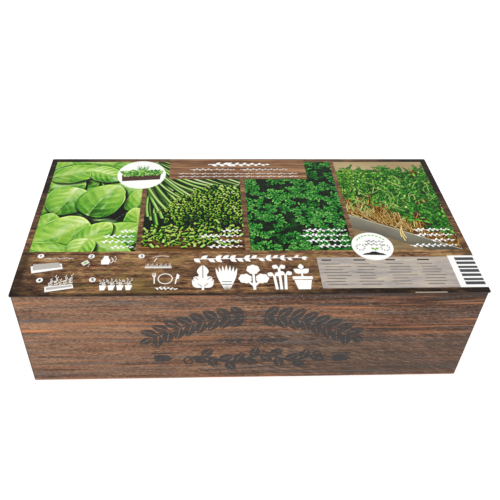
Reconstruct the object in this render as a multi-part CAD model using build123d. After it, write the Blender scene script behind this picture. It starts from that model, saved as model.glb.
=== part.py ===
from build123d import *
from math import atan2, degrees
import os

os.makedirs("parts", exist_ok=True)

# Indoor herb planter: a stained pine box with a printed card lid. Inside stands a moulded
# growing tray that holds pressed coir blocks and paper packets of herb seed.
# Millimetres, +Z up, front towards -Y, origin at the middle of the underside.

# Wooden box
box_length = 300.0
box_depth = 150.0
box_height = 85.0
board_thickness = 8.0
base_thickness = 4.0
arris_radius = 0.8

# Flat wire brads with a small T head and a chisel point
brad_width = 1.3
brad_thickness = 1.0
brad_length = 20.0
brad_point_length = 1.8
brad_point_share = 0.25
brad_head_width = 2.1
brad_head_height = 0.7
brad_set_depth = 1.0
brad_hole_clearance = 0.05
corner_brad_height_shares = (0.18, 0.5, 0.82)
base_brad_inset = 65.0

# Card lid
lid_overhang = 0.8
lid_thickness = 1.0
lid_corner_radius = 1.2

# Growing tray
tray_side_clearance = 1.5
tray_rim_depth = 15.0
tray_wall = 0.8
rim_width = 5.0
rim_drop = 5.0
rim_edge_chamfer = 0.5
tray_taper = 5.0
tray_corner_radius = 13.0
tray_foot_chamfer = 3.0
flute_radius = 2.5
flute_start = 7.0
flutes_along_side = 7
flutes_along_end = 2
scoop_radius = 9.0
scoop_depth = 26.0
scoop_tip_radius = 2.5
rib_count = 3
rib_height = 3.0
rib_width = 8.0
rib_spacing = 24.0
rib_end_gap = 7.0
rib_draft = 12.0

# Pressed coir blocks
block_count = 4
block_gap = 5.0
block_length = 78.0
block_thickness = 14.0
block_corner_radius = 3.0
block_edge_chamfer = 1.2

# Seed packets
packet_rest_gap = 0.3
packet_side_gap = 3.0
packet_end_gap = 10.0
packet_sheet = 0.5
packet_belly = 1.3
packet_seam = 6.0
packet_belly_slope = 70.0
packet_flap = 14.0
packet_flap_thickness = 0.25
packet_corner = 1.0

cut_overrun = 1.0

# Sizes that follow from those above
inner_length = box_length - 2 * board_thickness
inner_depth = box_depth - 2 * board_thickness
rim_length = inner_length - 2 * tray_side_clearance
rim_depth = inner_depth - 2 * tray_side_clearance
mouth_length = rim_length - 2 * rim_width
mouth_depth = rim_depth - 2 * rim_width
floor_length = mouth_length - 2 * tray_taper
floor_depth = mouth_depth - 2 * tray_taper
tray_top = box_height - tray_rim_depth
tray_height = tray_top - base_thickness
block_pitch = (floor_length - 2 * tray_wall) / block_count
block_width = block_pitch - block_gap
block_seat = base_thickness + rib_height + tray_wall
block_top = block_seat + block_thickness
packet_pitch = (mouth_length - 2 * (scoop_radius + tray_wall)) / block_count
packet_width = packet_pitch - packet_side_gap
packet_length = floor_depth - 2 * tray_wall - 2 * packet_end_gap
place_steps = [index - (block_count - 1) / 2 for index in range(block_count)]

low_align = (Align.CENTER, Align.CENTER, Align.MIN)


def corner_brad_planes(side):
    """Brads at each end of a long board, into the edge of the end board."""
    y = side * (box_depth / 2 - brad_set_depth)
    x = (box_length - board_thickness) / 2
    return [
        Plane(origin=(end * x, y, share * box_height), x_dir=(1, 0, 0), z_dir=(0, -side, 0))
        for end in (-1, 1)
        for share in corner_brad_height_shares
    ]


def base_brad_planes():
    """Brads through the foot of each board into the edge of the base panel."""
    x = box_length / 2 - base_brad_inset
    y = box_depth / 2 - brad_set_depth
    end_x = box_length / 2 - brad_set_depth
    z = base_thickness / 2
    planes = []
    for side in (-1, 1):
        for end in (-1, 1):
            planes.append(Plane(origin=(end * x, side * y, z), x_dir=(1, 0, 0), z_dir=(0, -side, 0)))
        planes.append(Plane(origin=(side * end_x, 0, z), x_dir=(0, 1, 0), z_dir=(-side, 0, 0)))
    return planes


def brad():
    """One brad along +Z from the top of its head."""
    shank_length = brad_length - brad_point_length
    head = Box(brad_head_width, brad_thickness, brad_head_height, align=low_align)
    shank = Box(brad_width, brad_thickness, shank_length, align=low_align)
    root = Plane.XY.offset(shank_length) * Rectangle(brad_width, brad_thickness)
    edge = Plane.XY.offset(brad_length) * Rectangle(brad_width, brad_thickness * brad_point_share)
    return head + shank + loft([root.face(), edge.face()], ruled=True)


def brad_hole():
    """The hole that the brad was driven into, with the pit above its sunk head."""
    play = 2 * brad_hole_clearance
    pit_length = brad_set_depth + cut_overrun + brad_head_height + brad_hole_clearance
    shaft = Box(
        brad_width + play, brad_thickness + play, brad_length + brad_hole_clearance, align=low_align
    )
    pit = Box(brad_head_width + play, brad_thickness + play, pit_length, align=low_align)
    return shaft + Pos(0, 0, -brad_set_depth - cut_overrun) * pit


def drilled(board, planes):
    """A board with the holes of the brads that reach it."""
    for plane in planes:
        board -= plane * brad_hole()
    return board


def brad_group(planes):
    """One group of separate brads."""
    return Compound(children=[plane * brad() for plane in planes])


def long_board(side):
    """Front or back board: runs the full length and covers the end boards."""
    place = Pos(0, side * (box_depth - board_thickness) / 2, 0)
    board = place * Box(box_length, board_thickness, box_height, align=low_align)
    outer_face = board.faces().sort_by(Axis.Y)[0 if side < 0 else -1]
    board = fillet(outer_face.edges() + board.edges().filter_by(Axis.Y), arris_radius)
    return drilled(board, corner_brad_planes(side) + base_brad_planes())


def end_board(end):
    """End board between the long boards, with its outer edges eased."""
    place = Pos(end * (box_length - board_thickness) / 2, 0, 0)
    board = place * Box(board_thickness, inner_depth, box_height, align=low_align)
    outer_face = board.faces().sort_by(Axis.X)[0 if end < 0 else -1]
    board = fillet(outer_face.edges().filter_by(Axis.Y), arris_radius)
    return drilled(board, corner_brad_planes(-1) + corner_brad_planes(1) + base_brad_planes())


def base_panel():
    """Thin panel let in flush between the four boards."""
    panel = Box(inner_length, inner_depth, base_thickness, align=low_align)
    return drilled(panel, base_brad_planes())


def tapered_body(inset, low, high):
    """The tray's drafted form between two heights, moved inwards by inset."""
    narrowing = inset - tray_taper * (low - base_thickness) / tray_height
    section = RectangleRounded(
        floor_length - 2 * narrowing, floor_depth - 2 * narrowing, tray_corner_radius - narrowing
    )
    draft = degrees(atan2(tray_taper, tray_height))
    body = extrude(Plane.XY.offset(low) * section, high - low, taper=-draft)
    foot = body.faces().sort_by(Axis.Z)[0]
    return chamfer(foot.edges(), tray_foot_chamfer - inset)


def wall_flutes(extra):
    """Round flutes that stiffen the walls and follow their slope, grown by extra."""
    side_step = (floor_length - 2 * tray_corner_radius) / flutes_along_side
    end_step = (floor_depth - 2 * tray_corner_radius) / flutes_along_end
    flutes = []
    for sign in (-1, 1):
        starts = [
            ((index - (flutes_along_side - 1) / 2) * side_step, sign * floor_depth / 2, 0, sign)
            for index in range(flutes_along_side)
        ]
        starts += [
            (sign * floor_length / 2, (index - (flutes_along_end - 1) / 2) * end_step, sign, 0)
            for index in range(flutes_along_end)
        ]
        for x, y, out_x, out_y in starts:
            slope = (out_x * tray_taper, out_y * tray_taper, tray_height)
            shift = tray_taper * flute_start / tray_height
            origin = (x + out_x * shift, y + out_y * shift, base_thickness + flute_start)
            length = tray_height - flute_start + cut_overrun
            flutes.append(
                Plane(origin=origin, z_dir=slope)
                * Cylinder(flute_radius + extra, length, align=low_align)
            )
    return flutes


def finger_scoops(extra):
    """A hollow for a finger at each end of the tray, wide at the rim, grown by extra."""
    cone = Cone(scoop_tip_radius + extra, scoop_radius + extra, scoop_depth, align=low_align)
    cap = Pos(0, 0, scoop_depth) * Cylinder(scoop_radius + extra, cut_overrun, align=low_align)
    return [Pos(end * mouth_length / 2, 0, tray_top - scoop_depth) * (cone + cap) for end in (-1, 1)]


def floor_ribs(extra):
    """Long raised ribs in the floor that carry the coir, grown by extra."""
    ribs = []
    for index in range(rib_count):
        y = (index - (rib_count - 1) / 2) * rib_spacing
        outline = SlotOverall(floor_length - 2 * rib_end_gap + 2 * extra, rib_width + 2 * extra)
        ribs.append(extrude(Pos(0, y, base_thickness) * outline, rib_height + extra, taper=rib_draft))
    return ribs


def tray_rim():
    """Plate across the mouth with a lip turned down round its edge."""
    outline = RectangleRounded(rim_length, rim_depth, tray_corner_radius + tray_taper + rim_width)
    hollow = offset(outline, -tray_wall)
    block = extrude(Plane.XY.offset(tray_top - rim_drop) * outline, rim_drop)
    block = chamfer(block.faces().sort_by(Axis.Z)[-1].edges(), rim_edge_chamfer)
    return block - extrude(Plane.XY.offset(tray_top - rim_drop) * hollow, rim_drop - tray_wall)


def growing_tray():
    """Tray moulded from one thin sheet: drafted, fluted and ribbed, with a turned-down rim."""
    outer = tapered_body(0, base_thickness, tray_top)
    hollow = tapered_body(tray_wall, base_thickness + tray_wall, tray_top + cut_overrun)
    outer -= wall_flutes(0) + floor_ribs(0)
    hollow -= wall_flutes(tray_wall) + finger_scoops(tray_wall) + floor_ribs(tray_wall)
    return outer + tray_rim() - finger_scoops(0) - hollow


def coir_block(x):
    """Pressed block with rounded corners and blunt edges."""
    block = extrude(RectangleRounded(block_width, block_length, block_corner_radius), block_thickness)
    ends = block.faces().filter_by(Axis.Z)
    block = chamfer(ends[0].edges() + ends[1].edges(), block_edge_chamfer)
    return Pos(x, 0, block_seat) * block


def seed_packet(x):
    """Flat paper packet: clipped corners, sealed seams, a belly of seed and a folded flap."""
    sheet = Box(packet_width, packet_length, packet_sheet, align=low_align)
    sheet = chamfer(sheet.edges().filter_by(Axis.Z), packet_corner)
    belly_outline = Rectangle(
        packet_width - 2 * packet_seam, packet_length - 2 * packet_seam - packet_flap
    )
    belly = extrude(
        Pos(0, -packet_flap / 2, packet_sheet) * belly_outline, packet_belly, taper=packet_belly_slope
    )
    flap = Box(packet_width, packet_flap, packet_flap_thickness, align=low_align)
    flap = chamfer(flap.edges().filter_by(Axis.Z), packet_corner)
    flap = Pos(0, (packet_length - packet_flap) / 2, packet_sheet) * flap
    return Pos(x, 0, block_top + packet_rest_gap) * (sheet + belly + flap)


def card_lid():
    """Flat printed card that lies on the boards and overhangs them a little all round."""
    outline = RectangleRounded(
        box_length + 2 * lid_overhang, box_depth + 2 * lid_overhang, lid_corner_radius
    )
    return extrude(Plane.XY.offset(box_height) * outline, lid_thickness)


nodes = {
    "front_board": long_board(-1),
    "back_board": long_board(1),
    "left_end_board": end_board(-1),
    "right_end_board": end_board(1),
    "base_panel": base_panel(),
    "front_corner_brads": brad_group(corner_brad_planes(-1)),
    "back_corner_brads": brad_group(corner_brad_planes(1)),
    "base_brads": brad_group(base_brad_planes()),
    "growing_tray": growing_tray(),
    "card_lid": card_lid(),
}
herbs = ("basil", "chives", "parsley", "cress")
for herb, step in zip(herbs, place_steps):
    nodes[herb + "_coir_block"] = coir_block(step * block_pitch)
    nodes[herb + "_seed_packet"] = seed_packet(step * packet_pitch)

for name, shape in nodes.items():
    export_step(shape, "parts/" + name + ".step")
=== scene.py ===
import math
import bpy
import numpy as np
from mathutils import Matrix, Vector


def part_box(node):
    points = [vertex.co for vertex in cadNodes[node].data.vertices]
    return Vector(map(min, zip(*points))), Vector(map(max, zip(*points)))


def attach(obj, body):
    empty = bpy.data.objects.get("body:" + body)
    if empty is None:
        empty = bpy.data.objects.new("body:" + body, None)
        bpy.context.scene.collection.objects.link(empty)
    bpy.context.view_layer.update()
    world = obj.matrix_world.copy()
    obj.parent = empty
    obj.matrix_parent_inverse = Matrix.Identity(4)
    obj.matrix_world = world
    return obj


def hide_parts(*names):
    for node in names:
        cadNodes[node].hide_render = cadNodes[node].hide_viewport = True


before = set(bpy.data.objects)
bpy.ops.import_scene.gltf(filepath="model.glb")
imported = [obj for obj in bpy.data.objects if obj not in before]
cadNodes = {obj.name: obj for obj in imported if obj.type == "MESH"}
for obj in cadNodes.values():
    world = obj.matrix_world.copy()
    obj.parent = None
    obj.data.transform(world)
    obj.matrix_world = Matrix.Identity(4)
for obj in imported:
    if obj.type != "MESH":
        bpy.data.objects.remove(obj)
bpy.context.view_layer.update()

mm = 0.001
herbs = ("basil", "chives", "parsley", "cress")


# Colours are written as sRGB hex; toLinear is the one place where they turn linear
def toLinear(values):
    values = np.asarray(values, float)
    return np.where(values <= 0.04045, values / 12.92, ((values + 0.055) / 1.055) ** 2.4)


def hexColour(text):
    return np.array([int(text[i:i + 2], 16) / 255 for i in (1, 3, 5)])


def linear(text):
    return (*toLinear(hexColour(text)), 1.0)


# Adds one node: inputs in their order, settings by name; nodes and sockets are linked, "stops" fill a ramp
def addNode(tree, kind, *inputs, **settings):
    node = tree.nodes.new("ShaderNode" + kind)
    values = dict(enumerate(inputs))
    for key, value in settings.items():
        if key == "stops":
            elements = node.color_ramp.elements
            elements.remove(elements[1])
            for index, (position, colour) in enumerate(value):
                element = elements.new(position) if index else elements[0]
                element.position = position
                element.color = linear(colour)
        elif key in node.inputs:
            values[key] = value
        else:
            setattr(node, key, value)
    for key, value in values.items():
        if isinstance(value, bpy.types.Node):
            value = value.outputs[0]
        if isinstance(value, bpy.types.NodeSocket):
            tree.links.new(value, node.inputs[key])
        else:
            node.inputs[key].default_value = linear(value) if isinstance(value, str) else value
    return node


def newMaterial(name, settings):
    material = bpy.data.materials.new(name)
    material.use_nodes = True
    tree = material.node_tree
    for key, value in settings.items():
        tree.nodes["Principled BSDF"].inputs[key].default_value = value
    return material, tree, addNode(tree, "TexCoord").outputs["Object"]


# Gives the shader its colour and, where there is a height, a bump of so many millimetres
def finishMaterial(material, colour, height=None, strength=0.0, depth=0.0):
    tree = material.node_tree
    shader = tree.nodes["Principled BSDF"]
    tree.links.new(colour.outputs[0], shader.inputs["Base Color"])
    if height is not None:
        bump = addNode(tree, "Bump", Strength=strength, Distance=depth * mm, Height=height)
        tree.links.new(bump.outputs[0], shader.inputs["Normal"])
    return material


# Noise stretched to sizes in millimetres along x, y and z
def grain(tree, spot, sizes, shift, detail=3, roughness=0.5):
    stretched = addNode(tree, "Mapping", spot, Scale=[1 / (size * mm) for size in sizes],
                        Location=(shift, 1.7 * shift, 2.3 * shift))
    return addNode(tree, "TexNoise", stretched, Scale=1.0, Detail=detail, Roughness=roughness)


# Grains laid over each other about a middle value, each with its own strength
def overlay(tree, middle, *layers):
    total = middle - sum(strength for layer, strength in layers) / 2
    for layer, strength in layers:
        total = addNode(tree, "Math", layer, strength, total, operation="MULTIPLY_ADD")
    return total


# An area that fades along each of its spans: a source by name, two limits, and the strengths there if
# they aren't 0 and 1; limits along an axis are in metres
def area(tree, sources, spans):
    parts = [addNode(tree, "MapRange", sources[name], *limits) for name, *limits in spans]
    total = parts[0]
    for part in parts[1:]:
        total = addNode(tree, "Math", total, part, operation="MULTIPLY")
    return total


# The object's axes as sources, and its distance from the middle plane as "side"
def axisSources(tree, spot):
    sources = dict(zip("xyz", addNode(tree, "SeparateXYZ", spot).outputs))
    sources["side"] = addNode(tree, "Math", sources["x"], operation="ABSOLUTE")
    return sources


def wear(nodeName, material):
    node = cadNodes[nodeName]
    node.data.materials.clear()
    node.data.materials.append(material)
    for polygon in node.data.polygons:
        polygon.material_index = 0


# Sawn pine boards brushed with brown stain: matt, dark pores, warm streaks where the stain took lightly
pine = {
    "shades": ((0.1, "#35241B"), (0.32, "#5E4536"), (0.5, "#80614C"), (0.68, "#9B775D"), (0.92, "#BA8E6C")),
    "colours": {"rose": "#A36F57", "cool": "#6E6866", "dull": "#584C44", "streak": "#C88457",
                "endGrain": "#513B2E", "edge": "#3A2C26", "rim": "#C0876A", "stamp": "#393B3C"},
    # grain sizes in mm along and across the board, then the noise's shift, detail and roughness
    "grains": {"bands": (120, 8, 0, 3, 0.5), "streaks": (38, 1.7, 5, 4, 0.6),
               "fibres": (2.4, 0.55, 11, 3, 0.7), "lightStreaks": (90, 2.6, 23, 3, 0.5),
               "tints": (70, 4.2, 41, 4, 0.65), "sway": (120, 42, 3, 1, 0.5)},
    "strengths": {"bands": 0.6, "streaks": 1.0, "fibres": 1.9, "flecks": 1.7},
    "wander": 4.0, "fleck": ((7.0, 3, 0.95), 2, 2, 0.6), "fleckSlope": 24, "rubbed": ((40, 40, 40), 31, 2),
    "sparkLevel": (0.0525, 0.0011), "roughness": 0.62, "bump": (0.3, 0.35),
    "areas": {
        "flecks": (("x", -0.02, 0.02), ("z", 0.054, 0.044)), "left": (("x", -0.09, 0.01, 0.05, -0.16),),
        "right": (("x", 0.02, 0.12, 0, -0.09),), "spark": (("x", -0.122, -0.137),),
        # painted shade under the lid's overhang, weaker towards the left end
        "paintedLidShade": (("z", 0.071, 0.083, 0, -0.17), ("x", -0.09, 0.0, 0.25, 1)),
        "rose": (("tints", 0.5, 0.68, 0, 0.45),), "cool": (("tints", 0.5, 0.34, 0, 0.62),),
        "dull": (("z", 0.056, 0.036, 0, 0.5), ("x", -0.02, 0.06)),
        "streak": (("lightStreaks", 0.58, 0.7, 0, 0.6),), "high": (("z", 0.03, 0.055, 0.3, 1),),
        "endGrain": (("endOn", 0.85, 0.95, 0, 0.4),), "stamp": (("fibres", 0.52, 0.8, 0.93, 0.43),),
        "edge": (("side", 0.1487, 0.1497, 0, 0.75), ("y", -0.0740, -0.0748)),
        # a painted highlight along the front's foot, broken up by noise
        "rim": (("z", 0.0022, 0.0004), ("rubbed", 0.4, 0.6, 0.35, 1)),
    },
}


def stainedPine(name, along, seed, isFront=False, isStamp=False):
    material, tree, spot = newMaterial(name, {"Roughness": pine["roughness"], "IOR": 1.5,
                                              "Specular IOR Level": 0.15})
    sources, strengths = axisSources(tree, spot), pine["strengths"]

    def boardGrain(key, start):
        length, width, shift, detail, roughness = pine["grains"][key]
        sizes = [length if axis == along else width for axis in range(3)]
        return grain(tree, start, sizes, seed + shift, detail, roughness)

    def cover(key):
        return area(tree, sources, pine["areas"][key])

    drift = [0 if axis == along else pine["wander"] * mm for axis in range(3)]
    bent = addNode(tree, "VectorMath", boardGrain("sway", spot).outputs["Color"], drift, spot,
                   operation="MULTIPLY_ADD")
    for key in ("bands", "streaks", "fibres", "lightStreaks", "tints"):
        sources[key] = boardGrain(key, bent)
    mix = overlay(tree, 0.5, *((sources[key], strengths[key]) for key in ("bands", "streaks", "fibres")))
    facing = addNode(tree, "SeparateXYZ", addNode(tree, "NewGeometry").outputs["Normal"]).outputs[along]
    sources["endOn"] = addNode(tree, "Math", facing, operation="ABSOLUTE")
    glow = cover("streak")
    if isFront:
        # saw flecks slant across the grain low on the right half
        slope = addNode(tree, "VectorRotate", spot, rotation_type="Y_AXIS",
                        Angle=math.radians(-pine["fleckSlope"]))
        flecks = overlay(tree, 0.0, (grain(tree, slope, *pine["fleck"]), strengths["flecks"]))
        mix = addNode(tree, "Math", flecks, cover("flecks"), mix, operation="MULTIPLY_ADD")
        # lighter at the left, darker to the right, and painted shade under the lid's overhang
        for key in ("left", "right", "paintedLidShade"):
            mix = addNode(tree, "Math", mix, cover(key))
        # light streaks keep to the upper half, but one strong one starts at the left end
        level = addNode(tree, "Math", sources["z"], *pine["sparkLevel"], operation="COMPARE")
        spark = addNode(tree, "Math", cover("spark"), level, operation="MULTIPLY")
        glow = addNode(tree, "Math", glow, cover("high"), operation="MULTIPLY")
        glow = addNode(tree, "Math", glow, spark, operation="MAXIMUM")
        # noise that breaks up the painted highlight along the foot
        sources["rubbed"] = grain(tree, spot, *pine["rubbed"])
    # cool grey and rosy lines lie side by side where the stain dried unevenly, and end grain drinks more
    # of it; on the front the face is dull low down, dark at its end arrises and painted light along its
    # foot as a highlight; the stamp's ink sits in the grain, so pores and raised fibres show through it
    colour = addNode(tree, "ValToRGB", mix, stops=pine["shades"])
    for key, isWorn in (("rose", True), ("cool", True), ("dull", isFront), ("streak", True),
                        ("endGrain", True), ("edge", isFront), ("rim", isFront), ("stamp", isStamp)):
        if isWorn:
            part = glow if key == "streak" else cover(key)
            colour = addNode(tree, "MixRGB", part, colour, pine["colours"][key])
    return finishMaterial(material, colour, mix, *pine["bump"])


print("boards")
wear("front_board", stainedPine("stainedPineFront", 0, 4.0, isFront=True))
wear("back_board", stainedPine("stainedPineBack", 0, 9.0))
wear("left_end_board", stainedPine("stainedPineLeftEnd", 1, 17.0))
wear("right_end_board", stainedPine("stainedPineRightEnd", 1, 29.0))


# Rotary-cut poplar plywood: pale, sanded, with long soft figure and thin glue lines on its edges
ply = {
    "pale": "#CDB48C", "warm": "#B79768", "glue": "#7A5F41", "veneer": 1.33,  # mm
    "figure": ((90, 9, 4), 3, 4, 0.55), "fibres": ((12, 0.7, 0.7), 8, 2, 0.6),
    "glueLine": (("layer", 0.00012, 0.00004), ("upright", 0.5, 0.1)),
}


def poplarPly():
    material, tree, spot = newMaterial("sandedPoplarPly", {"Roughness": 0.6, "IOR": 1.5})
    fibres = grain(tree, spot, *ply["fibres"])
    mix = overlay(tree, 0.5, (grain(tree, spot, *ply["figure"]), 1.2), (fibres, 0.5))
    colour = addNode(tree, "MixRGB", mix, ply["warm"], ply["pale"])
    height = addNode(tree, "SeparateXYZ", spot).outputs["Z"]
    layer = addNode(tree, "Math", height, ply["veneer"] * mm / 2, operation="PINGPONG")
    facing = addNode(tree, "SeparateXYZ", addNode(tree, "NewGeometry").outputs["Normal"]).outputs["Z"]
    upright = addNode(tree, "Math", facing, operation="ABSOLUTE")
    glueLine = area(tree, {"layer": layer, "upright": upright}, ply["glueLine"])
    colour = addNode(tree, "MixRGB", glueLine, colour, ply["glue"])
    return finishMaterial(material, colour, fibres, 0.2, 0.15)


# Drawn steel brads, bright but scuffed by the nail gun and touched by brown stain
def drawnSteel():
    material, tree, spot = newMaterial("drawnSteelBrads", {"Metallic": 1.0, "Roughness": 0.42})
    scuff = addNode(tree, "MapRange", grain(tree, spot, (0.4, 0.4, 2), 4), 0.35, 0.7)
    return finishMaterial(material, addNode(tree, "MixRGB", scuff, "#8C8780", "#5D5048"))


# Vacuum-formed black polypropylene: satin, with the faint orange peel that the warm sheet takes
def formedPlastic():
    material, tree, spot = newMaterial("vacuumFormedPolypropylene", {"Roughness": 0.36, "IOR": 1.49})
    haze = addNode(tree, "MapRange", grain(tree, spot, (30, 30, 12), 9), 0.3, 0.7)
    peel = grain(tree, spot, (1.2, 1.2, 1.2), 5, 2)
    return finishMaterial(material, addNode(tree, "MixRGB", haze, "#17191B", "#24272A"), peel, 0.12, 0.1)


print("base, brads and tray")
wear("base_panel", poplarPly())
steel = drawnSteel()
for nodeName in ("front_corner_brads", "back_corner_brads", "base_brads"):
    wear(nodeName, steel)
wear("growing_tray", formedPlastic())


# Pictures are painted on a fine grid, in millimetres on the lid, and worn as a colour attribute
def fade(value, start, end):
    t = np.clip((value - start) / (end - start), 0, 1)
    return t * t * (3 - 2 * t)


def palette(*stops):
    return [place for place, colour in stops], np.array([hexColour(colour) for place, colour in stops])


def shade(value, colours):
    return np.stack([np.interp(value, colours[0], colours[1][:, i]) for i in range(3)], -1)


def valueNoise(a, b, seed, octaves=3, gain=0.5):
    total, weight, whole = 0.0, 1.0, 0.0
    for octave in range(octaves):
        table = np.random.default_rng(seed + octave).random((97, 89))
        column, row = np.floor(a).astype(int), np.floor(b).astype(int)
        p, q = a - column, b - row
        p, q = p * p * (3 - 2 * p), q * q * (3 - 2 * q)
        near, far = (table[(row + step) % 97, column % 89] * (1 - p)
                     + table[(row + step) % 97, (column + 1) % 89] * p for step in (0, 1))
        total = total + weight * (near * (1 - q) + far * q)
        whole += weight
        weight *= gain
        a, b = a * 2.03 + 5.3, b * 2.03 + 1.7
    return total / whole


def noiseAt(spot, width, height, seed):
    return float(valueNoise(np.array(spot[0] / width), np.array(spot[1] / height), seed, 2))


def polar(centre, reach, angle):
    turn = math.radians(angle)
    return centre[0] + reach * math.cos(turn), centre[1] + reach * math.sin(turn)


def between(value, low, high):
    return max(0.0, min(1.0, (value - low) / (high - low)))


def newPicture(low, high, pitch, ground):
    columns = round((high[0] - low[0]) / pitch) + 1
    rows = round((high[1] - low[1]) / pitch) + 1
    u, v = np.meshgrid(np.linspace(low[0], high[0], columns), np.linspace(low[1], high[1], rows))
    return {"u": u, "v": v, "low": low, "pitch": pitch,
            "colour": np.ones((rows, columns, 3)) * hexColour(ground)}


# All four herb pictures on the lid have the same height and fineness
def herbPicture(span, ground):
    return newPicture((span[0], 40.6), (span[1], 148.7), 0.34, ground)


# The part of the grid near a point, and the distances along and across a direction from that point
def around(picture, centre, reach):
    spans = []
    for axis in (1, 0):
        count = picture["u"].shape[1 - axis]
        middle = centre[axis] - picture["low"][axis]
        first = min(max(0, math.floor((middle - reach) / picture["pitch"])), count)
        last = math.ceil((middle + reach) / picture["pitch"]) + 1
        spans.append(slice(first, max(first, min(count, last))))
    return tuple(spans)


def measured(picture, where, centre, angle):
    a, b = picture["u"][where] - centre[0], picture["v"][where] - centre[1]
    c, s = math.cos(math.radians(angle)), math.sin(math.radians(angle))
    return a * c + b * s, b * c - a * s


def nearby(picture, centre, reach, angle):
    where = around(picture, centre, reach)
    return (where, *measured(picture, where, centre, angle))


def tint(colours, cover, colour):
    colour = hexColour(colour) if isinstance(colour, str) else colour
    colours += np.asarray(cover)[..., None] * (colour - colours)


def paint(picture, where, cover, colour):
    tint(picture["colour"][where], cover, colour)


def paintAll(picture, cover, colour):
    tint(picture["colour"], cover, colour)


basilPrint = {
    "span": (4.2, 74.4), "gap": "#0E170A", "shadow": "#0F2009",
    "greens": palette((0.0, "#12300C"), (0.22, "#2F6E1C"), (0.42, "#5AA032"), (0.6, "#86BF48"),
                      (0.78, "#ADD66C"), (0.92, "#CDE79C"), (1.0, "#E2F1CC")),
    "young": "#B7CF4E", "sheen": "#BFDCC0", "vein": "#CBE59A", "rim": "#D2ECA2",
    "veinWidth": 0.5, "edgeWidth": 0.42,  # mm
    # centre u, v, direction of the tip, length, width, brightness, crinkle; the hidden layer comes first
    "hidden": (
        (22, 112, 40, 44, 34, -0.2, 1), (58, 124, -60, 44, 32, -0.2, 1), (14, 76, 80, 44, 34, -0.22, 1),
        (44, 74, 10, 40, 26, -0.25, 1), (70, 62, 100, 40, 30, -0.2, 1), (32, 50, -40, 44, 32, -0.2, 1),
        (40, 142, 0, 44, 28, -0.22, 1), (70, 100, 60, 34, 24, -0.2, 1)),
    "hollows": ((63, 82, 13, 9), (33, 72, 10, 6), (51, 124, 7, 5), (27, 120, 7, 4), (56, 66, 7, 4)),
    "leaves": (
        (11, 143, 30, 34, 26, -0.02, 1), (36, 147, -8, 40, 19, 0.0, 1), (62, 141, 200, 34, 26, -0.06, 1),
        (74, 120, 110, 34, 26, -0.02, 1), (12, 116, 186, 38, 26, -0.08, 1), (64, 113, -42, 30, 22, 0.04, 1),
        (74, 98, 75, 30, 22, 0.0, 1), (73, 75, 95, 28, 21, 0.03, 1), (8, 92, 120, 32, 28, -0.1, 1),
        (23, 133, 14, 42, 23, 0.02, 1), (46, 131, -24, 28, 21, 0.08, 1.8), (20, 97, -112, 35, 34, 0.01, 0.8),
        (8, 66, 70, 34, 26, -0.06, 1), (46, 99, 62, 42, 34, 0.02, 1), (64, 58, 18, 40, 29, 0.0, 1),
        (20, 58, 212, 48, 35, 0.08, 1), (45, 59, 52, 32, 21, 0.07, 1.4), (55, 44, -24, 38, 23, 0.04, 1.2),
        (14, 41, 165, 36, 21, 0.03, 1), (37, 43, 250, 24, 19, 0.08, 1.6)),
}


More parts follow.
